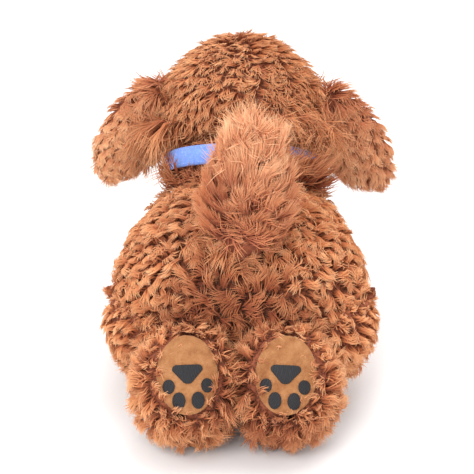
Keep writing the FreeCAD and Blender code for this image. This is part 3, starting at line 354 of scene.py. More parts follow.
def growerTree():
    # Grows tapered strands that gather into locks and curl over. Every strand starts at a point of the cloth.
    tree, given = newTree("growPile", {"Cloth": "Geometry", **dict.fromkeys(pileFloats, "Float"), "Seed": "Int",
                                       "Rings": "Int", "Finish": "Material"}, "Pile")
    seed, shape = given["Seed"], strandShape

    def calc(operation, first, second=0.0, third=0.0):
        return addNode(tree, "ShaderNodeMath", {"operation": operation},
                       {0: first, 1: second, 2: third}).outputs[0]

    def times(first, *others):
        for other in others:
            first = calc("MULTIPLY", first, other)
        return first

    def vector(operation, first, second=None, scale=None):
        inputs = {0: first}
        if second is not None:
            inputs[1] = second
        if scale is not None:
            inputs["Scale"] = scale
        node = addNode(tree, "ShaderNodeVectorMath", {"operation": operation}, inputs)
        return node.outputs["Value" if operation == "DOT_PRODUCT" else "Vector"]

    def scaled(value, scale):
        return vector("SCALE", value, scale=scale)

    def added(first, *others):
        for other in others:
            first = vector("ADD", first, other)
        return first

    def squareTo(axis, value):
        # The part of a vector that is square to an axis, at length 1.
        part = scaled(axis, vector("DOT_PRODUCT", value, axis))
        return vector("NORMALIZE", vector("SUBTRACT", value, part))

    def named(label, kind="FLOAT_VECTOR"):
        return addNode(tree, "GeometryNodeInputNamedAttribute", {"data_type": kind}, {"Name": label}).outputs[0]

    def store(geometry, label, value, kind="FLOAT_VECTOR", domain="POINT"):
        return addNode(tree, "GeometryNodeStoreNamedAttribute", {"data_type": kind, "domain": domain},
                       {"Geometry": geometry, "Name": label, "Value": value}).outputs[0]

    def randomValue(ends, step, identity=None):
        # A random number, or a vector where the ends are vectors. What shares an identity shares the value.
        isVector = isinstance(ends[0], tuple)
        first, kind = (0, "FLOAT_VECTOR") if isVector else (2, "FLOAT")
        inputs = {first: ends[0], first + 1: ends[1], "Seed": calc("ADD", seed, float(step))}
        if identity is not None:
            inputs["ID"] = identity
        return addNode(tree, "FunctionNodeRandomValue", {"data_type": kind}, inputs).outputs[0 if isVector else 1]

    # Middles of the locks, evenly spaced, and the strands' roots.
    locks = addNode(tree, "GeometryNodeDistributePointsOnFaces", {"distribute_method": "POISSON"},
                    {"Mesh": given["Cloth"], "Distance Min": given["Lock Size"], "Density Max": 1e6,
                     "Seed": seed})
    lockPoints = store(locks.outputs["Points"], "lockNormal", locks.outputs["Normal"])
    roots = addNode(tree, "GeometryNodeDistributePointsOnFaces", {"distribute_method": "RANDOM"},
                    {"Mesh": given["Cloth"], "Density": times(given["Density"], named("pileDensity", "FLOAT")),
                     "Seed": calc("ADD", seed, 7.0)})
    here = addNode(tree, "GeometryNodeInputPosition").outputs[0]
    nearest = addNode(tree, "GeometryNodeSampleNearest", {"domain": "POINT"},
                      {"Geometry": lockPoints, "Sample Position": here}).outputs[0]
    lockPlace, lockNormal = (addNode(tree, "GeometryNodeSampleIndex", {"data_type": "FLOAT_VECTOR"},
                                     {"Geometry": lockPoints, "Value": value, "Index": nearest}).outputs[0]
                             for value in (here, named("lockNormal")))

    upright = vector("NORMALIZE", added(scaled(roots.outputs["Normal"], shape["ownNormal"]),
                                        scaled(lockNormal, shape["lockNormal"])))
    cube = ((-1, -1, -1), (1, 1, 1))
    lean = added(named("pileComb"), scaled(randomValue(cube, 11, nearest), given["Scatter"]),
                 scaled(randomValue(cube, 12), given["Stray"]))
    flat = squareTo(upright, lean)
    start = vector("NORMALIZE", added(scaled(upright, given["Lift"]),
                                      scaled(flat, calc("SUBTRACT", 1.0, given["Lift"]))))
    over = squareTo(start, flat)
    reach = times(randomValue(shape["length"], 21), randomValue(shape["lockLength"], 22, nearest),
                  named("pileLength", "FLOAT"), given["Length"])
    spread = addNode(tree, "ShaderNodeMapRange", None,
                     {"Value": named("pileTone", "FLOAT"), "To Min": given["Tone Low"],
                      "To Max": given["Tone High"]}).outputs[0]
    tone = calc("ADD", spread, calc("ADD", randomValue(shape["lockTone"], 23, nearest),
                                    randomValue(shape["tone"], 24)))
    tone = calc("MINIMUM", calc("MAXIMUM", tone, shape["toneLimits"][0]), shape["toneLimits"][1])
    bend = times(given["Turn"], randomValue(shape["lockBend"], 25, nearest))

    strands = roots.outputs["Points"]
    for label, value in (("root", here), ("start", start), ("over", over),
                         ("pull", vector("SUBTRACT", lockPlace, here))):
        strands = store(strands, label, value)
    for label, value in (("strandLength", reach), ("tone", tone), ("bend", bend),
                         ("phase", randomValue((0.0, 6.283), 26, nearest))):
        strands = store(strands, label, value, "FLOAT")
    strand = addNode(tree, "GeometryNodeMeshCone", {"fill_type": "NGON"},
                     {"Vertices": 3, "Side Segments": given["Rings"], "Radius Top": 0.0, "Radius Bottom": 1.0,
                      "Depth": 1.0})
    placed = addNode(tree, "GeometryNodeInstanceOnPoints", None,
                     {"Points": strands, "Instance": strand.outputs["Mesh"]})
    solid = addNode(tree, "GeometryNodeRealizeInstances", None, {"Geometry": placed.outputs[0]}).outputs[0]
    local = addNode(tree, "ShaderNodeSeparateXYZ", None, {0: vector("SUBTRACT", here, named("root"))}).outputs
    for label, value in (("along", local[2]), ("across", local[0]), ("beside", local[1])):
        solid = store(solid, label, value, "FLOAT")

    # Each strand is an arc from its start direction towards the comb, drawn in towards the lock's middle.
    along, across, beside, bend, reach = (named(label, "FLOAT") for label in
                                          ("along", "across", "beside", "bend", "strandLength"))
    angle = times(bend, along)
    sine, cosine = calc("SINE", angle), calc("COSINE", angle)
    curve = calc("DIVIDE", reach, bend)
    start, over = named("start"), named("over")
    sideways = vector("CROSS_PRODUCT", start, over)
    outwards = vector("SUBTRACT", scaled(over, cosine), scaled(start, sine))
    gathered = times(given["Gather"], calc("MINIMUM", times(along, shape["gatherRate"]), 1.0))
    swing = calc("SINE", calc("ADD", times(along, shape["waveTurns"]), named("phase", "FLOAT")))
    full = times(given["Radius"], calc("MULTIPLY_ADD", along, shape["fullness"], 1.0))
    place = added(scaled(start, times(curve, sine)),
                  scaled(over, times(curve, calc("SUBTRACT", 1.0, cosine))),
                  scaled(named("pull"), gathered),
                  scaled(sideways, times(swing, along, given["Wave"])),
                  scaled(sideways, times(across, full)),
                  scaled(outwards, times(beside, full)))
    solid = addNode(tree, "GeometryNodeSetPosition", None,
                    {"Geometry": solid, "Position": added(named("root"), place)}).outputs[0]
    u = calc("MULTIPLY_ADD", across, shape["toneEdge"], named("tone", "FLOAT"))
    mapped = addNode(tree, "ShaderNodeCombineXYZ", None, {0: u, 1: along}).outputs[0]
    solid = store(solid, "OFBake", mapped, "FLOAT2", "CORNER")
    for label in workNames:
        solid = addNode(tree, "GeometryNodeRemoveAttribute", None, {"Geometry": solid, "Name": label}).outputs[0]
    solid = addNode(tree, "GeometryNodeSetMaterial", None,
                    {"Geometry": solid, "Material": given["Finish"]}).outputs[0]
    addNode(tree, "NodeGroupOutput", None, {0: solid})
    return tree


grower = growerTree()
pressed = 3 * mm        # the height within which the floor squeezes the pile


def growPile(name, cloth, style, keep=None):
    # Grows pile on part of a cloth body: keep is a test of face middles, so that a large body makes several pieces.
    mesh = cloth.data.copy()
    if keep is not None:
        edited(mesh, lambda form: bmesh.ops.delete(
            form, geom=[face for face in form.faces if not keep(face.calc_center_median())], context="FACES"))
    pile = withTree(objectFrom(mesh, name + "Ground"), grower, style, name)
    # The floor presses the lowest pile flat: what would go through it is squeezed into its last millimetres.
    places = points(pile)
    low = places[:, 2] < pressed
    places[low, 2] = pressed * np.exp((places[low, 2] - pressed) / pressed)
    setPoints(pile, places)
    pile.calc_loop_triangles()
    print("pile", name, len(pile.loop_triangles), "triangles")
    return objectFrom(pile, name)


def unit(lie):
    return lie / np.maximum(np.linalg.norm(lie, axis=1, keepdims=True), 1e-6)


def comb(cloth, direction, density=None, length=None, tone=None):
    # Writes the pile's lie, thickness, length and paleness on the cloth, from functions of its points.
    places = points(cloth.data)
    writeAttribute(cloth.data, "pileComb", "FLOAT_VECTOR", unit(direction(places)))
    for label, field, plain in (("pileDensity", density, 1.0), ("pileLength", length, 1.0), ("pileTone", tone, 0.5)):
        values = np.full(len(places), plain) if field is None else field(places)
        writeAttribute(cloth.data, label, "FLOAT", values)


curlyStyle = {
    "Density": 0.57e6, "Lock Size": 5.8 * mm, "Length": 13 * mm, "Radius": 0.48 * mm, "Turn": 2.1,
    "Gather": 0.7, "Scatter": 1.45, "Stray": 0.5, "Wave": 2.2 * mm, "Lift": 1.0,
    "Tone Low": 0.0, "Tone High": 1.0, "Seed": 3, "Rings": 3, "Finish": bodyPile}
headStyle = dict(curlyStyle, **{"Density": 0.47e6, "Lock Size": 4.6 * mm, "Length": 11.5 * mm, "Turn": 1.1,
                                "Scatter": 0.7, "Lift": 0.68, "Wave": 1.8 * mm, "Gather": 0.62, "Seed": 17,
                                "Radius": 0.44 * mm})
earStyle = dict(curlyStyle, **{"Density": 0.8e6, "Lock Size": 5.6 * mm, "Length": 16 * mm, "Turn": 0.8,
                               "Scatter": 0.45, "Lift": 0.52, "Wave": 2.0 * mm, "Gather": 0.68, "Seed": 29,
                               "Radius": 0.42 * mm, "Finish": earHair})
tailStyle = dict(curlyStyle, **{"Density": 1.2e6, "Lock Size": 7.5 * mm, "Length": 23.5 * mm, "Turn": 0.7,
                                "Scatter": 0.4, "Lift": 0.6, "Wave": 2.4 * mm, "Seed": 41, "Gather": 0.72,
                                "Radius": 0.42 * mm, "Finish": tailPile})
legStyle = dict(curlyStyle, **{"Density": 0.62e6, "Lock Size": 6.2 * mm, "Length": 13.5 * mm, "Turn": 1.1,
                               "Scatter": 0.7, "Lift": 0.85, "Wave": 2.0 * mm, "Gather": 0.72, "Seed": 53,
                               "Radius": 0.47 * mm})


def outside(cloth, p, soft=3 * mm):
    # 1 outside another cloth body and 0 well inside it, so that no pile grows where it would be buried.
    tree = BVHTree.FromPolygons([v.co for v in cloth.data.vertices], [f.vertices for f in cloth.data.polygons])
    aim, kept = Vector((0.37, 0.21, 0.9)).normalized(), np.ones(len(p))
    for k, place in enumerate(p):
        start, crossings = Vector(place), 0
        hit = tree.ray_cast(start, aim)[0]
        while hit is not None:
            crossings += 1
            hit = tree.ray_cast(hit + aim * 1e-5, aim)[0]
        if crossings % 2:
            kept[k] = max(0.0, 1.0 - tree.find_nearest(start)[3] / soft)
    return kept


def awayFrom(p, centre, reach, soft=2 * mm):
    # 0 inside a ball, 1 outside it, with a soft edge.
    gap = np.linalg.norm(p - np.array(centre), axis=1) - reach
    return np.clip(gap / soft, 0, 1)


def near(p, centre, reach):
    # 1 at a place, fading to 0 at the reach.
    return np.clip(1 - np.linalg.norm(p - np.array(centre), axis=1) / reach, 0, 1)


def fade(value, start, span):
    # 0 up to the start, then rising evenly to 1 over the span.
    return np.clip((value - start) / span, 0, 1)


def offFloor(p):
    # No pile grows where the cloth rests on the floor.
    return fade(p[:, 2], 1.5 * mm, 3 * mm)


def shortBelow(p, rise, span):
    # Pile grows shorter towards the floor, down to less than half.
    return np.clip((p[:, 2] + rise) / span, 0.45, 1)


def aboutAxis(p, pivot, axis):
    # How far along an axis each point is, and its way out from the axis.
    out = p - np.array(pivot)
    along = out @ np.array(axis)
    return along, out - along[:, None] * np.array(axis)


# ---------- torso ----------

# Lengths of a place are in metres, from the frame's origin. A lie is a direction, x outwards.
torsoShape = {"voxel": 5 * mm, "pile": 7 * mm, "cuts": (-0.2, -0.035, 0.005, 0.04, 0.075, 0.2), "flank": 0.07,
              "backAndDown": (0.55, -0.45), "upTail": (0.0, -0.1, 1.0), "panelHalf": 37 * mm,
              "panelEnds": (-50 * mm, 80 * mm), "panelTop": 9 * mm, "chestEnd": -0.02, "neckRoom": 55 * mm}
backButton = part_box("back_touch_button")[1]
tailPlug = (Vector((tailPivot.x, tailPivot.y - 2 * mm, tailPivot.z - 6 * mm)), (30 * mm, 27 * mm, 24 * mm))
buttonPlug = (Vector((0, backButton.y - 5 * mm, backButton.z + 4 * mm)), (14 * mm, 14 * mm, 14 * mm))
torso = clothBody("torsoCloth", ["torso_skin", "torso_stuffing", "case_lower", "case_upper"],
                  torsoShape["voxel"], torsoShape["pile"], lumps=[tailPlug, buttonPlug])


def torsoLie(p):
    # Back and down from the withers and out to the sides, and up round the root of the tail.
    back, down = torsoShape["backAndDown"]
    lie = np.column_stack([p[:, 0] / torsoShape["flank"], np.full(len(p), back), np.full(len(p), down)])
    root = near(p, tailPivot + Vector((0, 0, 0.012)), 50 * mm)[:, None]
    return lie * (1 - root) + 2 * root * np.array(torsoShape["upTail"])


def torsoDensity(p):
    # Thinner low down and on the chest, and none on the belly panel or where the neck turns.
    front, rear = torsoShape["panelEnds"]
    panel = ((np.abs(p[:, 0]) < torsoShape["panelHalf"]) & (p[:, 1] > front) & (p[:, 1] < rear)
             & (p[:, 2] < torsoShape["panelTop"]))
    thin = np.where(p[:, 2] < 30 * mm, 0.55, 1.0) * np.where(p[:, 1] < torsoShape["chestEnd"], 0.65, 1.0)
    return thin * offFloor(p) * np.where(panel, 0, 1) * awayFrom(p, neckPivot, torsoShape["neckRoom"], 3 * mm)


def torsoLength(p):
    return (1 + 0.7 * near(p, tailPivot + Vector((0, 0, 0.01)), 48 * mm)) * shortBelow(p, 6 * mm, 22 * mm)


def torsoTone(p):
    # Paler over the flanks and haunches, and paler high on the back from the middle over the dog's right side,
    # painted light against the shade there. Darker down the middle of the rump, painted shade in the crevice between
    # the hind legs and the rump.
    side = fade(np.abs(p[:, 0]), 0, torsoShape["flank"])
    # Painted shade: the pile is darkened in the crevice between the hind legs and the rump.
    creviceShade = near(p, (0, 0.11, 0.06), 62 * mm)
    # Painted light: the pile is made paler high on the back, from the middle over the dog's right side.
    high = fade(p[:, 2], 0.09, 0.03)
    return np.clip(0.42 + 0.35 * side + 0.45 * high * (p[:, 0] < 0.01) - 1.3 * creviceShade, 0, 1)


# ---------- hind legs and their soles ----------

legShape = {"voxel": 4 * mm, "pile": 8.5 * mm, "thigh": (37 * mm, 46 * mm, 37 * mm),
            "thighLie": (0.25, 0.35, -0.9), "foot": 0.085, "patchRise": 4.5 * mm, "patchSink": 0.6 * mm,
            "patchEdge": 1.02, "patchRim": 1.2, "patchDepth": 18 * mm}


def soleFrame(name):
    # Middle, outward normal, way to the toes and half sizes of a sole patch, from its own shape.
    p = points(frame["nodes"][name].data)
    middle = (p.max(0) + p.min(0)) / 2
    spread, axes = np.linalg.eigh(np.cov((p - p.mean(0)).T))
    normal, across, toes = (Vector(axes[:, k]) for k in range(3))
    normal *= math.copysign(1, normal.y)
    toes *= -math.copysign(1, toes.z)
    reach = [np.abs((p - middle) @ np.array(axis)).max() for axis in (across, toes)]
    return Vector(middle), normal, across, toes, reach


def domed(mesh, sole):
    # Swells a flat piece on the sole over the stuffing behind it.
    middle, normal, across, toes, reach = sole
    p = points(mesh)
    u = (p - np.array(middle)) @ np.array(across) / reach[0]
    v = (p - np.array(middle)) @ np.array(toes) / reach[1]
    lift = legShape["patchRise"] * np.clip(1 - u ** 2 - v ** 2, 0, 1) - legShape["patchSink"]
    setPoints(mesh, p + lift[:, None] * np.array(normal))


def threadMaterial():
    # Satin stitch in charcoal thread, in close rows 0.6 mm apart with a slight gloss along them.
    material, tree, shader = newMaterial("satin stitch thread")
    place = addNode(tree, "ShaderNodeTexCoord")
    rows = addNode(tree, "ShaderNodeTexWave", {"wave_type": "BANDS", "bands_direction": "DIAGONAL"},
                   {"Vector": place.outputs["Object"], "Scale": 0.314 / (0.6 * mm), "Distortion": 2.5,
                    "Detail": 2.0}).outputs[1]
    ramp = fillRamp(addNode(tree, "ShaderNodeValToRGB", None, {0: rows}), [(0.0, "#0f0e12"), (1.0, "#1c1a1f")])
    bump = addNode(tree, "ShaderNodeBump", None, {"Strength": 0.8, "Distance": 0.35 * mm, "Height": rows})
    finish(tree, shader, {"Roughness": 0.6}, ramp, bump)
    return material


def onSole(p, sole):
    # How far a point is from the patch's middle, in half sizes of the patch, or far away if not by the sole.
    middle, normal, across, toes, reach = sole
    flat = p - np.array(middle)
    u, v = (flat @ np.array(axis) / half for axis, half in zip((across, toes), reach))
    return np.where(flat @ np.array(normal) > -legShape["patchDepth"], np.hypot(u, v), 9.0)


def legLie(p, sole, sign):
    # Outwards and down over the thigh, away from the sole over the foot, and in over the patch's edge.
    foot = fade(p[:, 1], legShape["foot"], 0.03)[:, None]
    x, y, z = legShape["thighLie"]
    rim = np.where(onSole(p, sole) < legShape["patchRim"], -0.3, 1.0)[:, None]
    return unit(p - np.array(sole[0])) * foot * rim + np.array([sign * x, y, z]) * (1 - foot)


def legDensity(p, sole):
    # Bare under the patch, where the leg presses on the floor and where it is sewn to the torso.
    return np.where(onSole(p, sole) < legShape["patchEdge"], 0, 1) * offFloor(p) * outside(torso, p)


def legLength(p, sole, sign):
    # Longer between the feet, shorter outside and on top, round the patch and near the floor.
    out = sign * p[:, 0]
    between = (1 - fade(out, 0, 25 * mm)) * (p[:, 1] > 0.1)
    outer = fade(out, 0.065, 0.02) + fade(p[:, 2], 0.062, 0.01)
    rim = np.where(onSole(p, sole) < legShape["patchRim"], 0.7, 1.0)
    return (1 + 0.4 * between - 0.35 * outer) * rim * shortBelow(p, 4 * mm, 20 * mm)


def legTone(p, sign):
    # Paler towards the outside, and duller on the dog's right foot and between the feet.
    return np.clip(0.3 + 0.6 * fade(sign * p[:, 0], 0, 0.08) - 0.3 * (sign < 0) * (p[:, 2] < 0.04), 0, 1)


# Short tan velour: 1.1 mm nap brushed unevenly, which leaves paler and duller patches and a soft sheen.
velour = noisyMaterial("brushed tan velour",
                       {"Roughness": 0.9, "Specular IOR Level": 0.2, "Sheen Weight": 0.3,
                        "Sheen Tint": linear("#ffe6c8")},
                       (7 * mm, 5.0, 0.65, [(0.25, "#8a5430"), (0.5, "#a56f45"), (0.75, "#b98459")]),
                       (1.1 * mm, 3.0, 1.0, 0.9 * mm))
thread = threadMaterial()
legs, legPile, solePatches, pads = {}, {}, {}, {}
for side, sign in sides.items():
    legLow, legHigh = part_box(f"hind_leg_{side}")
    outer = legHigh.x if side == "left" else legLow.x
    thigh = (Vector((outer - sign * 41 * mm, legLow.y + 36 * mm, legHigh.z - 40 * mm)), legShape["thigh"])
    leg = clothBody(f"hindLegCloth_{side}", [f"hind_leg_{side}"], legShape["voxel"], legShape["pile"], [thigh])
    sole = soleFrame(f"sole_patch_{side}")
    for pieces, kind, voxel, cover in ((solePatches, "sole_patch", 0.8 * mm, velour),
                                       (pads, "sole_embroidery", 0.4 * mm, thread)):
        name = f"{kind}Cloth_{side}"
        mesh = remeshed(joinedNodes([f"{kind}_{side}"]), name, voxel)
        smoothMesh(mesh, 2)
        domed(mesh, sole)
        mesh.materials.clear()
        mesh.materials.append(cover)
        shadeSmooth(mesh)
        pieces[side] = objectFrom(mesh, name)

    # Under the patch the cloth has no pile, so it comes back out to the patch.
    places = points(leg.data)
    out = (1.3 - onSole(places, sole)) / 0.3
    out = np.clip(out, 0, 1)[:, None] * (legShape["pile"] - 0.8 * mm)
    setPoints(leg.data, places + normals(leg.data) * out)
    comb(leg, lambda p: legLie(p, sole, sign), lambda p: legDensity(p, sole),
         lambda p: legLength(p, sole, sign), lambda p: legTone(p, sign))
    legs[side], legPile[side] = leg, growPile(f"hindLegPile_{side}", leg, dict(legStyle, Seed=53 + sign))

# ---------- front legs ----------

foreLegs, forePile = {}, {}
for side, sign in sides.items():
    foreLegs[side] = clothBody(f"frontLegCloth_{side}", [f"front_leg_{side}"], 4 * mm, 7 * mm)
    comb(foreLegs[side], lambda p: np.tile([0.0, -1.0, -0.3], (len(p), 1)), offFloor)
    forePile[side] = growPile(f"frontLegPile_{side}", foreLegs[side],
                              dict(legStyle, **{"Density": 0.62e6, "Length": 10.5 * mm, "Lock Size": 4.8 * mm,
                                                "Gather": 0.55, "Turn": 1.6, "Seed": 71 + sign}))

# ---------- pile of the torso ----------

limbs = list(legs.values()) + list(foreLegs.values())
comb(torso, torsoLie, lambda p: torsoDensity(p) * np.prod([outside(limb, p) for limb in limbs], axis=0),
     torsoLength, torsoTone)
bands = list(zip(torsoShape["cuts"], torsoShape["cuts"][1:]))
torsoPile = [growPile(f"torsoPile{k + 1}", torso, dict(curlyStyle, Seed=3 + k),
                      lambda c, low=low, high=high: low <= c.y < high) for k, (low, high) in enumerate(bands)]

# ---------- neck ----------

neck = clothBody("neckCloth", ["neck_skin"], 4 * mm, 3 * mm, pressure=0, rounds=2)
collarSpan = (-6 * mm, 8 * mm)      # along the neck from the pivot


def alongNeck(p):
    return aboutAxis(p, neckPivot, neckAxis)[0]


def atSide(p):
    # Where the pile closes over the collar, further round on the dog's right.
    return ((p[:, 0] > 42 * mm) | (p[:, 0] < -18 * mm)) & (p[:, 1] > -0.095)


def neckLie(p):
    # Over the collar at the sides of the neck, away from it elsewhere.
    rise, out = aboutAxis(p, neckPivot, neckAxis)
    below = np.where(rise < 0, 1.0, -1.0)
    hug = np.where(atSide(p), 1.1, -0.3)
    return 0.8 * unit(out) + (below * hug)[:, None] * np.array(neckAxis)


def neckDensity(p):
    # A band of pile below the collar and another above it, which stops short of the skull.
    rise, out = aboutAxis(p, neckPivot, neckAxis)
    under = (rise < collarSpan[0] - 1 * mm) & (rise > -20 * mm) & (np.linalg.norm(out, axis=1) > 44 * mm)
    over = (rise > collarSpan[1] + 1 * mm) & (rise < 15 * mm)
    return np.where(under | over, 1.0, 0.0)


comb(neck, neckLie, neckDensity, lambda p: np.where(atSide(p), 1.9, 1.0), lambda p: np.full(len(p), 0.2))
neckPile = [growPile("neckPile", neck, dict(headStyle, **{"Density": 0.28e6, "Length": 10 * mm, "Seed": 83})),
            growPile("neckTufts", neck, dict(headStyle, **{"Density": 0.9e6, "Length": 16 * mm, "Seed": 89,
                                                           "Turn": 0.7, "Lift": 0.85, "Scatter": 0.45}),
                     lambda c: -48 * mm < c.x < -18 * mm and alongNeck(np.array([c]))[0] < 0)]

# ---------- head ----------

earHinges = {side: Vector(joints[f"ear_{side}_flap"]["pos_m"]) for side in sides}
noseLow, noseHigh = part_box("nose")
nosePlace = (noseLow + noseHigh) / 2
muzzlePads = [(nosePlace + Vector((sign * 13 * mm, 13 * mm, -11 * mm)), (16 * mm, 16 * mm, 13 * mm))
              for sign in sides.values()]
head = clothBody("headCloth", ["head_skin", "skull_front", "skull_back", "head_touch_housing", "eyes", "nose"],
                 5 * mm, 6.5 * mm, lumps=muzzlePads)
crown = np.array(neckPivot) + np.array([0.005, -0.035, 0.09])
eyeLow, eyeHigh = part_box("eyes")
eyeRadius = (eyeHigh.z - eyeLow.z) / 2
eyePlaces = [(x, eyeLow.y + eyeRadius, eyeLow.z + eyeRadius) for x in (eyeLow.x + eyeRadius, eyeHigh.x - eyeRadius)]


def headLie(p):
    # Out from the crown, forwards and outwards over the muzzle, and out over the roots of the ears.
    muzzle = fade(-p[:, 1], 0.125, 0.02)[:, None]
    face = unit(p - np.array(nosePlace + Vector((0, 0.01, 0.012))))
    lie = unit(p - crown) * (1 - muzzle) + face * muzzle
    for side, sign in sides.items():
        lie = lie + near(p, earHinges[side], 40 * mm)[:, None] * np.array([sign * 1.6, 0.3, -0.2])
    return lie


def headDensity(p):
    keep = awayFrom(p, nosePlace, 6.5 * mm)
    for place in eyePlaces:
        keep *= awayFrom(p, place, eyeRadius - 1 * mm)
    return keep * awayFrom(p, neckPivot, 49 * mm, 3 * mm)


def headLength(p):
    # Longer at the ears, at the rim round the neck, on the cheeks and brow, and where it falls over the collar.
    rise, wide = alongNeck(p), np.abs(p[:, 0])
    by = sum(near(p, earHinges[side], 34 * mm) for side in sides)
    rim = (1 - fade(rise, 0, 26 * mm)) * (wide > 30 * mm)
    cheek = fade(wide, 38 * mm, 15 * mm) * (p[:, 1] > -0.12) * (p[:, 2] < 0.17)
    fringe = (1 - fade(np.abs(rise - 27 * mm), 0, 16 * mm)) * atSide(p) * (1 + (p[:, 0] > 0.04) * 0.5)
    brow = sum(near(p, place, 26 * mm) for place in eyePlaces)
    return 1 + 0.8 * by + 0.5 * rim + 0.5 * cheek + 0.9 * fringe + 0.5 * brow


def headTone(p):
    # Duller at the nape, paler over the crown, brow and muzzle.
    return np.clip(0.5 + 0.2 * fade(p[:, 2], 0.16, 0.04) + 0.3 * (p[:, 1] < -0.12), 0, 1)


comb(head, headLie, headDensity, headLength, headTone)
headPile = [growPile("headPileBack", head, headStyle, lambda c: c.y >= -0.085),
            growPile("headPileFace", head, dict(headStyle, Density=0.36e6, Seed=19), lambda c: c.y < -0.085),
            growPile("headFringe", head, dict(headStyle, **{"Density": 0.9e6, "Length": 17 * mm, "Seed": 97,
                                                            "Turn": 1.7, "Lift": 1.3, "Scatter": 0.4}),
                     lambda c: atSide(np.array([c]))[0] and alongNeck(np.array([c]))[0] < 32 * mm)]

# ---------- ears ----------

ears, earPile = {}, {}
for side, sign in sides.items():
    hinge = earHinges[side]
    root = (hinge + Vector((sign * 4 * mm, 2 * mm, -8 * mm)), (16 * mm, 16 * mm, 15 * mm))
    inner = (hinge + Vector((sign * 8 * mm, 2 * mm, -22 * mm)), (13 * mm, 11 * mm, 24 * mm))
    ears[side] = clothBody(f"earCloth_{side}", [f"ear_{side}"], 3.5 * mm, 5 * mm, [root, inner])
    paleness = 1.0 if side == "left" else 0.6
    comb(ears[side], lambda p: np.tile([sign * 0.3, 0.1, -1.0], (len(p), 1)), None,
         lambda p: 1.15 - 0.5 * fade((p[:, 0] - hinge.x) * sign, 0, 0.03),
         lambda p: fade(hinge.z + 0.01 - p[:, 2], 0, 0.05) * paleness)
    earPile[side] = growPile(f"earPile_{side}", ears[side], dict(earStyle, Seed=29 + sign))

# ---------- tail ----------

tailLow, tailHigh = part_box("tail_skin")
tailAxis = ((tailLow + tailHigh) / 2 - tailPivot).normalized()
tailShape = {"length": 88 * mm, "root": 11 * mm, "swell": 9 * mm, "swellAt": 42 * mm, "swellReach": 24 * mm,
             "rings": 32, "sides": 30}


def tailCore():
    # A stuffed stalk: narrow at the pivot, swelling above the rump, and a rounded end.
    form = bmesh.new()
    turn = Vector((0, 0, 1)).rotation_difference(tailAxis)
    rows = []
    for ring in range(tailShape["rings"] + 1):
        t = ring / tailShape["rings"]
        height = -tailShape["root"] + t * (tailShape["length"] + tailShape["root"])
        bulge = math.exp(-((height - tailShape["swellAt"]) / tailShape["swellReach"]) ** 2)
        swell = tailShape["root"] + tailShape["swell"] * bulge
        radius = swell * math.sqrt(max(0.0, 1 - abs(2 * t - 1) ** 7)) + 0.2 * mm
        row = []
        for k in range(tailShape["sides"]):
            angle = 2 * math.pi * k / tailShape["sides"]
            spot = Vector((radius * math.cos(angle), radius * math.sin(angle), height))
            row.append(form.verts.new(tailPivot + turn @ spot))
        rows.append(row)
    for low, high in zip(rows, rows[1:]):
        for k in range(len(low)):
            form.faces.new((low[k], low[(k + 1) % len(low)], high[(k + 1) % len(low)], high[k]))
    form.faces.new(list(reversed(rows[0])))
    form.faces.new(rows[-1])
    bmesh.ops.recalc_face_normals(form, faces=form.faces)
    return objectFrom(meshFrom(form, "tailCloth", backing), "tailCloth")


tail = tailCore()


def alongTail(p):
    return aboutAxis(p, tailPivot, tailAxis)[0]


def tailLie(p):
    # Outwards round the root, and up the tail from there.
    rise, out = aboutAxis(p, tailPivot, tailAxis)
    up = fade(rise, 25 * mm, 30 * mm)[:, None]
    return np.array(tailAxis) * (0.2 + 1.0 * up) + unit(out) * (0.9 - 0.45 * up)


comb(tail, tailLie, lambda p: fade(alongTail(p), 22 * mm, 6 * mm),
     lambda p: 0.75 + 0.3 * fade(alongTail(p), 0, tailShape["length"]),
     lambda p: fade(alongTail(p), 38 * mm, 34 * mm))
tailFur = growPile("tailPile", tail, tailStyle)

# ---------- collar ----------

collarShape = {"inner": 53.6 * mm, "outer": 56.2 * mm, "round": 0.9 * mm, "segments": 160, "stitches": 150,
               "stitchLength": 1.5 * mm, "stitchRadius": 0.28 * mm, "stitchPoints": 96,
               "margin": 1.8 * mm}
neckTurn = Vector((0, 0, 1)).rotation_difference(neckAxis)


def roundNeck(radius, k, count, z):
    # The k-th of so many points on a ring round the neck, at a height along it.
    angle = 2 * math.pi * k / count
    return neckPivot + neckTurn @ Vector((radius * math.cos(angle), radius * math.sin(angle), z))


def tapeMaterial():
    # Light blue cotton tape: a plain weave of 1.4 mm cells, soft and almost matt.
    material, tree, shader = newMaterial("woven cotton tape")
    uv = addNode(tree, "ShaderNodeUVMap", {"uv_map": "weave"})
    weave = addNode(tree, "ShaderNodeTexBrick", {"offset": 0.5},
                    {"Vector": uv.outputs[0], "Scale": 1.0, "Mortar Size": 0.06, "Mortar Smooth": 1.0,
                     "Brick Width": 1.4, "Row Height": 0.9, "Color1": linear("#7ea4ee"), "Color2": linear("#8fb0f3"),
                     "Mortar": linear("#5f86d8")})
    noise = addNode(tree, "ShaderNodeTexNoise", None, {"Vector": uv.outputs[0], "Scale": 0.35, "Detail": 4.0})
    tint = fillRamp(addNode(tree, "ShaderNodeValToRGB", None, {0: noise.outputs[0]}),
                    [(0.3, "#d7e2ff"), (0.7, "#ffffff")])
    mixed = addNode(tree, "ShaderNodeMix", {"data_type": "RGBA", "blend_type": "MULTIPLY"},
                    {0: 1.0, 6: weave.outputs[0], 7: tint.outputs[0]})
    bump = addNode(tree, "ShaderNodeBump", {"invert": True},
                   {"Strength": 0.6, "Distance": 0.4 * mm, "Height": weave.outputs[1]})
    tree.links.new(mixed.outputs[2], shader.inputs["Base Color"])
    finish(tree, shader, {"Roughness": 0.85, "Sheen Weight": 0.2}, None, bump)
    return material


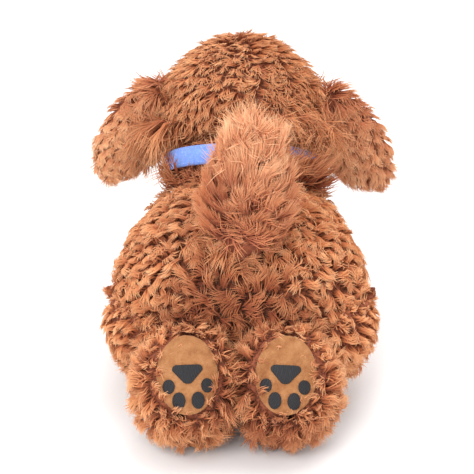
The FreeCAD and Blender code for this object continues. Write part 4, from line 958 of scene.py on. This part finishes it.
def collarTape():
    # A ring of tape with rounded edges, and its own map in millimetres round and across for the weave.
    shape = collarShape
    low, high, r = collarSpan[0], collarSpan[1], shape["round"]
    profile = [(shape["inner"], low + r), (shape["inner"] + r, low), (shape["outer"] - r, low),
               (shape["outer"], low + r), (shape["outer"] + 0.3 * mm, (low + high) / 2), (shape["outer"], high - r),
               (shape["outer"] - r, high), (shape["inner"] + r, high), (shape["inner"], high - r)]
    form = bmesh.new()
    layer = form.loops.layers.uv.new("weave")
    count = shape["segments"]
    rings = [[form.verts.new(roundNeck(radius, k, count, z)) for radius, z in profile] for k in range(count)]
    step = 2 * math.pi * shape["outer"] / count / mm
    across = [0.0]
    for first, second in zip(profile, profile[1:] + profile[:1]):
        across.append(across[-1] + math.dist(first, second) / mm)
    for k in range(count):
        ahead = rings[(k + 1) % count]
        for j in range(len(profile)):
            n = (j + 1) % len(profile)
            face = form.faces.new((rings[k][j], rings[k][n], ahead[n], ahead[j]))
            for loop, (u, v) in zip(face.loops, ((k, j), (k, j + 1), (k + 1, j + 1), (k + 1, j))):
                loop[layer].uv = (u * step, across[v])
    bmesh.ops.recalc_face_normals(form, faces=form.faces)
    mesh = meshFrom(form, "collarTape", tapeMaterial())
    shadeSmooth(mesh)
    return objectFrom(mesh, "collarTape")


def stitchTree():
    # Lays short rounded stitches round a ring, evenly, each along the ring.
    tree, given = newTree("sewStitches", {"Line": "Geometry", "Count": "Int", "Length": "Float",
                                          "Thread Radius": "Float", "Thread": "Material"}, "Stitches")
    line = addNode(tree, "GeometryNodeMeshToCurve", None, {0: given["Line"]})
    spots = addNode(tree, "GeometryNodeCurveToPoints", {"mode": "COUNT"},
                    {"Curve": line.outputs[0], "Count": given["Count"]})
    turn = addNode(tree, "FunctionNodeAlignRotationToVector", {"axis": "Z"}, {"Vector": spots.outputs["Tangent"]})
    half = addNode(tree, "ShaderNodeMath", {"operation": "MULTIPLY"}, {0: given["Length"], 1: 0.5})
    size = addNode(tree, "ShaderNodeCombineXYZ", None,
                   {0: given["Thread Radius"], 1: given["Thread Radius"], 2: half.outputs[0]})
    bead = addNode(tree, "GeometryNodeMeshUVSphere", None, {"Segments": 6, "Rings": 4, "Radius": 1.0})
    laid = addNode(tree, "GeometryNodeInstanceOnPoints", None,
                   {"Points": spots.outputs["Points"], "Instance": bead.outputs["Mesh"],
                    "Rotation": turn.outputs[0], "Scale": size.outputs[0]})
    solid = addNode(tree, "GeometryNodeRealizeInstances", None, {"Geometry": laid.outputs[0]})
    solid = addNode(tree, "GeometryNodeSetMaterial", None,
                    {"Geometry": solid.outputs[0], "Material": given["Thread"]})
    addNode(tree, "NodeGroupOutput", None, {0: solid.outputs[0]})
    return tree


def collarStitching():
    # Two rows of stitches round the tape, in pale blue polyester thread with plies 0.5 mm apart.
    shape = collarShape
    radius, count = shape["outer"] + 0.25 * mm, shape["stitchPoints"]
    form = bmesh.new()
    for z in (collarSpan[0] + shape["margin"], collarSpan[1] - shape["margin"]):
        ring = [form.verts.new(roundNeck(radius, k, count, z)) for k in range(count)]
        for k in range(count):
            form.edges.new((ring[k], ring[(k + 1) % count]))
    sewn = noisyMaterial("polyester sewing thread", {"Roughness": 0.6},
                         (0.5 * mm, 2.0, 0.5, [(0.3, "#86a8ea"), (0.7, "#b3c8f7")]))
    line = objectFrom(meshFrom(form, "stitchLine"), "stitchLine")
    settings = {"Count": shape["stitches"], "Length": shape["stitchLength"],
                "Thread Radius": shape["stitchRadius"], "Thread": sewn}
    return objectFrom(withTree(line, stitchTree(), settings, "collarStitching"), "collarStitching")


collar, stitching = collarTape(), collarStitching()
print("collar with", len(stitching.data.polygons), "stitch faces")

# ---------- plastic, metal and electric pieces that keep their CAD shape ----------

# slot: finish, dark and light colour, roughness, metallic, grain in mm, depth of the grain in mm
finishes = {
    "case_plastic": ("moulded ABS with a fine spark grain", "#6a4433", "#75503c", 0.5, 0, 0.8, 0.03),
    "frame_plastic": ("moulded ABS frame", "#c9cbcd", "#d6d8da", 0.45, 0, 1.2, 0.02),
    "gear_plastic": ("moulded acetal", "#e6e2d6", "#f1eee5", 0.35, 0, 1.5, 0.01),
    "button_plastic": ("moulded dark ABS", "#37373b", "#434348", 0.45, 0, 0.8, 0.02),
    "switch_plastic": ("moulded black ABS", "#1d1d20", "#28282c", 0.45, 0, 0.7, 0.03),
    "buckle_plastic": ("polished acetal", "#dfe1e8", "#f0f1f6", 0.22, 0, 3.0, 0.02),
    "eye_plastic": ("polished acrylic", "#120b08", "#1f1410", 0.06, 0, 4.0, 0.005),
    "nose_plastic": ("moulded vinyl with a leathery grain", "#15110f", "#2a2321", 0.42, 0, 1.1, 0.22),
    "steel": ("zinc plated steel", "#9a9b9e", "#b4b5b8", 0.32, 1, 0.6, 0.01),
    "contact_metal": ("nickel plated spring steel", "#c9c9c6", "#dddcd8", 0.2, 1, 0.6, 0.01),
    "cell_wrap": ("printed shrink sleeve", "#2c3036", "#3b4047", 0.25, 0, 5.0, 0.02),
    "board": ("epoxy glass with solder resist", "#124a26", "#1c6134", 0.35, 0, 1.2, 0.03),
    "chips": ("moulded epoxy", "#141416", "#232327", 0.55, 0, 0.6, 0.02),
    "speaker_metal": ("pressed steel and ferrite", "#606165", "#7d7e83", 0.4, 1, 0.9, 0.02)}


hardFinish = {slot: noisyMaterial(name, {"Roughness": roughness, "Metallic": metallic},
                                  (18 * mm, 3.0, 0.5, [(0.35, dark), (0.65, light)]),
                                  (grain * mm, 3.0, 0.6, depth * mm))
              for slot, (name, dark, light, roughness, metallic, grain, depth) in finishes.items()}
for part in frame["record"]["subparts"]:
    node = frame["nodes"][part["node"]]
    for slot in node.material_slots:
        slot.material = hardFinish.get(part["material_slot"], backing)
print("finishes on", len(frame["nodes"]), "CAD pieces")

# ---------- what rides on what ----------

onTorso = [torso] + torsoPile
for group in (legs, legPile, foreLegs, forePile, solePatches, pads):
    onTorso += list(group.values())
for thing in onTorso:
    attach(thing, "torso")
for thing in [head] + headPile:
    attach(thing, "head")
for thing in [neck, collar, stitching] + neckPile:
    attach(thing, "neck")
for thing in (tail, tailFur):
    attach(thing, "tail")
for side in ("left", "right"):
    for thing in (ears[side], earPile[side]):
        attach(thing, f"ear_{side}")
    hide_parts(f"ear_{side}")
    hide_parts(f"hind_leg_{side}")
    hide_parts(f"front_leg_{side}")
    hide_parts(f"sole_patch_{side}")
    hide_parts(f"sole_embroidery_{side}")
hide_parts("torso_skin", "torso_stuffing")
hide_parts("neck_skin")
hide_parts("head_skin")
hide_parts("tail_skin")
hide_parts("collar_band")

# ---------- studio ----------

# name, place, size in metres and power in watts of each lamp
lamps = (("key", (0.5, 1.2, 1.2), 0.9, 14), ("top", (-0.3, -0.1, 1.5), 1.2, 10))


def studio():
    material, tree, shader = newMaterial("matt white paper")
    finish(tree, shader, {"Base Color": linear("#fafafa"), "Roughness": 1.0})
    form = bmesh.new()
    bmesh.ops.create_grid(form, x_segments=1, y_segments=1, size=4.0)
    floor = objectFrom(meshFrom(form, "floor", material), "floor")
    world = bpy.data.worlds.new("studio")
    world.use_nodes = True
    world.node_tree.nodes["Background"].inputs[0].default_value = linear("#ffffff")
    world.node_tree.nodes["Background"].inputs[1].default_value = 1.0
    scene.world = world
    for name, place, size, power in lamps:
        data = bpy.data.lights.new(name, "AREA")
        data.size = size
        data.energy = power
        light = bpy.data.objects.new(name, data)
        light.location = place
        light.rotation_euler = (Vector((0, 0, 0.08)) - Vector(place)).to_track_quat("-Z", "Y").to_euler()
        scene.collection.objects.link(light)


cameraView = {"distance": 1.05, "turn": 0.5, "height": 26.0, "target": (0.0, 0.010, 0.090), "lens": 113.9,
              "shift": (-4 / 474, 4 / 474)}


def placeCamera():
    turn, height = math.radians(cameraView["turn"]), math.radians(cameraView["height"])
    towards = Vector((math.sin(turn) * math.cos(height), -math.cos(turn) * math.cos(height), -math.sin(height)))
    data = bpy.data.cameras.new("camera")
    data.lens = cameraView["lens"]
    data.sensor_width = 36
    data.shift_x, data.shift_y = cameraView["shift"]
    camera = bpy.data.objects.new("camera", data)
    camera.location = Vector(cameraView["target"]) - towards * cameraView["distance"]
    camera.rotation_euler = towards.to_track_quat("-Z", "Y").to_euler()
    scene.collection.objects.link(camera)
    scene.camera = camera


studio()
placeCamera()
scene.view_settings.view_transform = "Standard"
print("studio ready")
